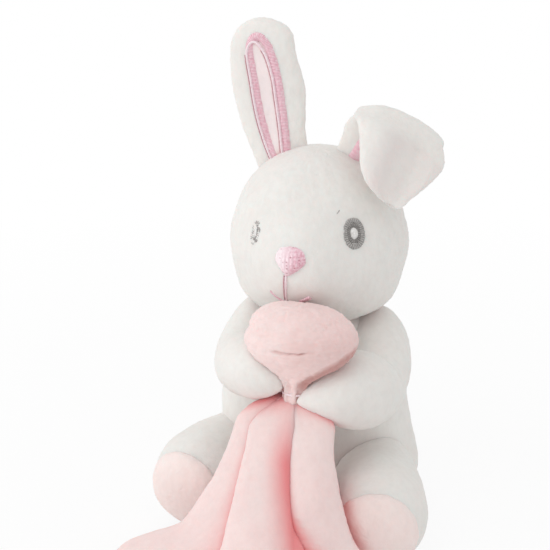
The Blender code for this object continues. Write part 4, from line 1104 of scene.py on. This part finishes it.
def skirt_grid():
    """Points of the cloth's middle, rows from the paws to the hem, and how much painted shade each gets on
    the fold walls.
    """
    shares = np.linspace(0, 1, SKIRT_ROWS + 1)[:, None]
    phi = np.tile(np.arange(FOLD_COLUMNS) / FOLD_COLUMNS * math.pi, len(CREASES))[None, :]
    creases = np.array([np.interp(shares[:, 0], PLACES, c) for c in CREASES]).T
    creases = np.concatenate([creases, creases[:, :1] + 360], axis=1)
    first = np.repeat(creases[:, :-1], FOLD_COLUMNS, axis=1)
    second = np.repeat(creases[:, 1:], FOLD_COLUMNS, axis=1)
    degrees = first + (second - first) * (1 - np.cos(phi)) / 2
    angle = np.radians(degrees)
    openness, skew, shade_strength, start = (np.repeat(v, FOLD_COLUMNS)[None, :] for v in np.array(FOLDS).T)
    crest = np.sin(math.pi * (phi / math.pi) ** skew) ** openness
    length = cloth_length(angle) * shares
    fall = np.minimum(length / SKIRT_FALL, 1)
    run = fall**FALL_POWER + np.maximum(length - SKIRT_FALL, 0) * FALL_POWER / SKIRT_FALL
    out_x, out_y = np.sin(angle), -np.cos(angle)
    back = ramp(-(degrees + 72) / 30) * (out_x < 0)
    sideways = np.where(out_x > 0, LEFT_REACH, RIGHT_REACH) * (1 - 0.35 * back)
    forward = np.where(out_y < 0, FRONT_REACH, BACK_REACH)
    corner = CORNER_REACH * ramp((run - 0.4) / 0.3)
    corner = corner * np.exp(-(((degrees - CORNER_ANGLE) / CORNER_SPREAD) ** 2))
    top, tuck = ramp(0.3 + shares * 10), 1 - ramp(shares * 7)
    run_x = run - 0.45 * np.maximum(run - 0.7, 0)
    x = GRIP[0] + out_x * (np.where(out_x > 0, TOP_LEFT, TOP_RIGHT) * top + sideways * run_x) - corner
    lean = GRIP[1] - SKIRT_LEAN * fall**LEAN_POWER + 6 * tuck
    y = lean + out_y * (TOP_DEEP * top + forward * run)
    height = SKIRT_FLOOR + (GRIP[2] - SKIRT_FLOOR) * (1 - fall) ** FALL_POWER + 7 * tuck
    side_x, side_y = out_x * (forward * run + TOP_DEEP), out_y * (sideways * run + TOP_LEFT)
    size = np.hypot(side_x, side_y)
    swell = np.interp(shares, PLACES, SWELL)
    x += side_x / size * swell * np.sqrt(1 - fall)
    y += side_y / size * swell * np.sqrt(1 - fall)
    pleat = np.interp(shares, PLACES, PLEAT) * (1 - crest)
    x += (GRIP[0] + 0.3 * (LEFT_REACH - RIGHT_REACH) * run - x) * pleat
    y += (lean + (BACK_REACH - FRONT_REACH) / 2 * run - y) * pleat
    height += swell * np.sqrt(fall) + 6 * ramp((fall - 0.45) / 0.4) * crest - 3 * fall
    # painted shade on the fold walls: from where it starts to the far crease, lighter beside the near crease,
    # faint at the paws and a little weaker towards the hem
    far_side, near_side = ramp((phi / math.pi - start) / 0.33), 0.7 * ramp((0.5 - crest) / 0.5)
    valley = np.where(phi > 0.4 * math.pi, far_side, near_side)
    valley = valley * shade_strength * (1 - 0.35 * shares) * (0.1 + 0.9 * ramp(shares / 0.16))
    return np.stack([x, y, np.maximum(height, SKIRT_FLOOR)], axis=2), np.minimum(valley, 1)


def build_skirt(with_pieces):
    grid, valley = skirt_grid()
    for _ in range(2):
        grid = (np.roll(grid, 1, axis=1) + 2 * grid + np.roll(grid, -1, axis=1)) / 4
    around = np.roll(grid, -2, axis=1) - np.roll(grid, 2, axis=1)
    normals = np.cross(around, np.gradient(grid, axis=0))
    normals /= np.maximum(np.linalg.norm(normals, axis=2, keepdims=True), 1e-9)
    if np.sum(normals[:, :, 2]) < 0:
        normals = -normals
    shares = np.linspace(0, 1, SKIRT_ROWS + 1)
    thick = HALF_LAYER * np.sqrt(np.maximum(1 - (np.maximum(shares - 0.975, 0) / 0.025) ** 2, 0.02))
    thick *= 1 - 0.3 * np.exp(-(((shares - 0.955) / 0.008) ** 2))
    over = grid + normals * thick[:, None, None]
    under = grid - normals * thick[:, None, None]
    rows = [*over, *under[::-1]]
    # the top layer carries the painted shade, the underside none
    skirt = skin("blanket_skirt", rows, looped=True, painted_shades=np.concatenate([valley, 0 * valley]))
    roughen(skirt, ((1.4, 0.2), (5, 0.2), (18, 0.7)), 15)
    floor_limit(skirt, 0.25)
    finish_piece(skirt, "torso", "plush_pink", ("blanket_top_layer", "blanket_lining"))


# Light, floor and camera


LIGHT_TARGET = Vector((0, -0.02, 0.1))
LIGHTS = (
    # name, place in metres, size, power
    ("side_light", (-1.1, -0.6, 0.2), 0.6, 2.7),
    ("top_light", (-0.3, -0.6, 1.15), 0.9, 2.2),
)
FLOOR_HALF = 1.6
WORLD_GREY, WORLD_STRENGTH = 0.985, 0.79


def build_lights():
    for name, spot, size, power in LIGHTS:
        data = bpy.data.lights.new(name, "AREA")
        data.shape = "DISK"
        data.size = size
        data.energy = power
        lamp = add_object(name, data)
        lamp.location = spot
        aim = LIGHT_TARGET - Vector(spot)
        lamp.rotation_euler = aim.to_track_quat("-Z", "Y").to_euler()


def seen_rays(tree):
    """1 for camera, glossy and transmission rays, which are to meet the white background."""
    path = tree.nodes.new("ShaderNodeLightPath")
    found = path.outputs["Is Camera Ray"]
    for name in ("Is Glossy Ray", "Is Transmission Ray"):
        larger = tree.nodes.new("ShaderNodeMath")
        larger.operation = "MAXIMUM"
        tree.links.new(found, larger.inputs[0])
        tree.links.new(path.outputs[name], larger.inputs[1])
        found = larger.outputs[0]
    return found


def mix_shaders(tree, share, first, second, output):
    """Sends a mix of two shaders to the output node."""
    blend = tree.nodes.new("ShaderNodeMixShader")
    for index, source in enumerate((share, first.outputs[0], second.outputs[0])):
        tree.links.new(source, blend.inputs[index])
    tree.links.new(blend.outputs[0], tree.nodes[output].inputs["Surface"])


def build_floor():
    corners = [(x * FLOOR_HALF, y * FLOOR_HALF, 0) for x, y in ((-1, -1), (1, -1), (1, 1), (-1, 1))]
    mesh = bpy.data.meshes.new("floor")
    mesh.from_pydata(corners, [], [(0, 1, 2, 3)])
    floor = add_object("floor", mesh)
    n = Nodes("floor_white")
    n.set(Roughness=0.9)
    speckle = n.ramp(n.noise(30, 2), 0.3, 0.7, (0.92, 0.92, 0.92, 1), (0.94, 0.94, 0.94, 1))
    n.link(speckle, n.shader, "Base Color")
    glow = n.add("ShaderNodeEmission", Strength=1.0, Color=(1, 1, 1, 1))
    reach = n.add("ShaderNodeVectorMath", operation="LENGTH")
    n.tree.links.new(n.place, reach.inputs[0])
    clear = n.remap(reach.outputs["Value"], 0.1, 0.45, 0.88, 1.0)
    share = n.calculate("MULTIPLY", seen_rays(n.tree), clear)
    mix_shaders(n.tree, share, n.shader, glow, "Material Output")
    mesh.materials.append(n.material)


def build_world():
    world = bpy.data.worlds.new("studio")
    bpy.context.scene.world = world
    world.use_nodes = True
    tree = world.node_tree
    background = tree.nodes["Background"]
    background.inputs["Color"].default_value = (WORLD_GREY, WORLD_GREY, WORLD_GREY, 1)
    background.inputs["Strength"].default_value = WORLD_STRENGTH
    white = tree.nodes.new("ShaderNodeBackground")
    white.inputs["Color"].default_value = (1, 1, 1, 1)
    white.inputs["Strength"].default_value = 1.0
    mix_shaders(tree, seen_rays(tree), background, white, "World Output")


def build_camera():
    out = direction_at(math.radians(CAMERA_AZIMUTH), math.radians(CAMERA_ELEVATION))
    data = bpy.data.cameras.new("camera")
    camera = add_object("camera", data)
    camera.location = Vector(CAMERA_TARGET) + out * CAMERA_DISTANCE
    camera.rotation_euler = (-out).to_track_quat("-Z", "Y").to_euler()
    data.sensor_width = SENSOR
    data.lens = SENSOR * PIXELS_PER_MM * (CAMERA_DISTANCE / MM) / IMAGE
    data.clip_start = 0.01
    data.clip_end = 20
    bpy.context.scene.camera = camera


def main():
    bpy.context.scene.view_settings.view_transform = "Standard"
    build_camera()
    build_world()
    build_lights()
    build_floor()
    build_body()
    build_head()
    build_eyes()
    build_nose()
    build_brow()
    build_upright_ear()
    build_folded_ear()
    build_arms()
    build_legs()
    build_tail()
    build_skirt(build_tuft())


main()
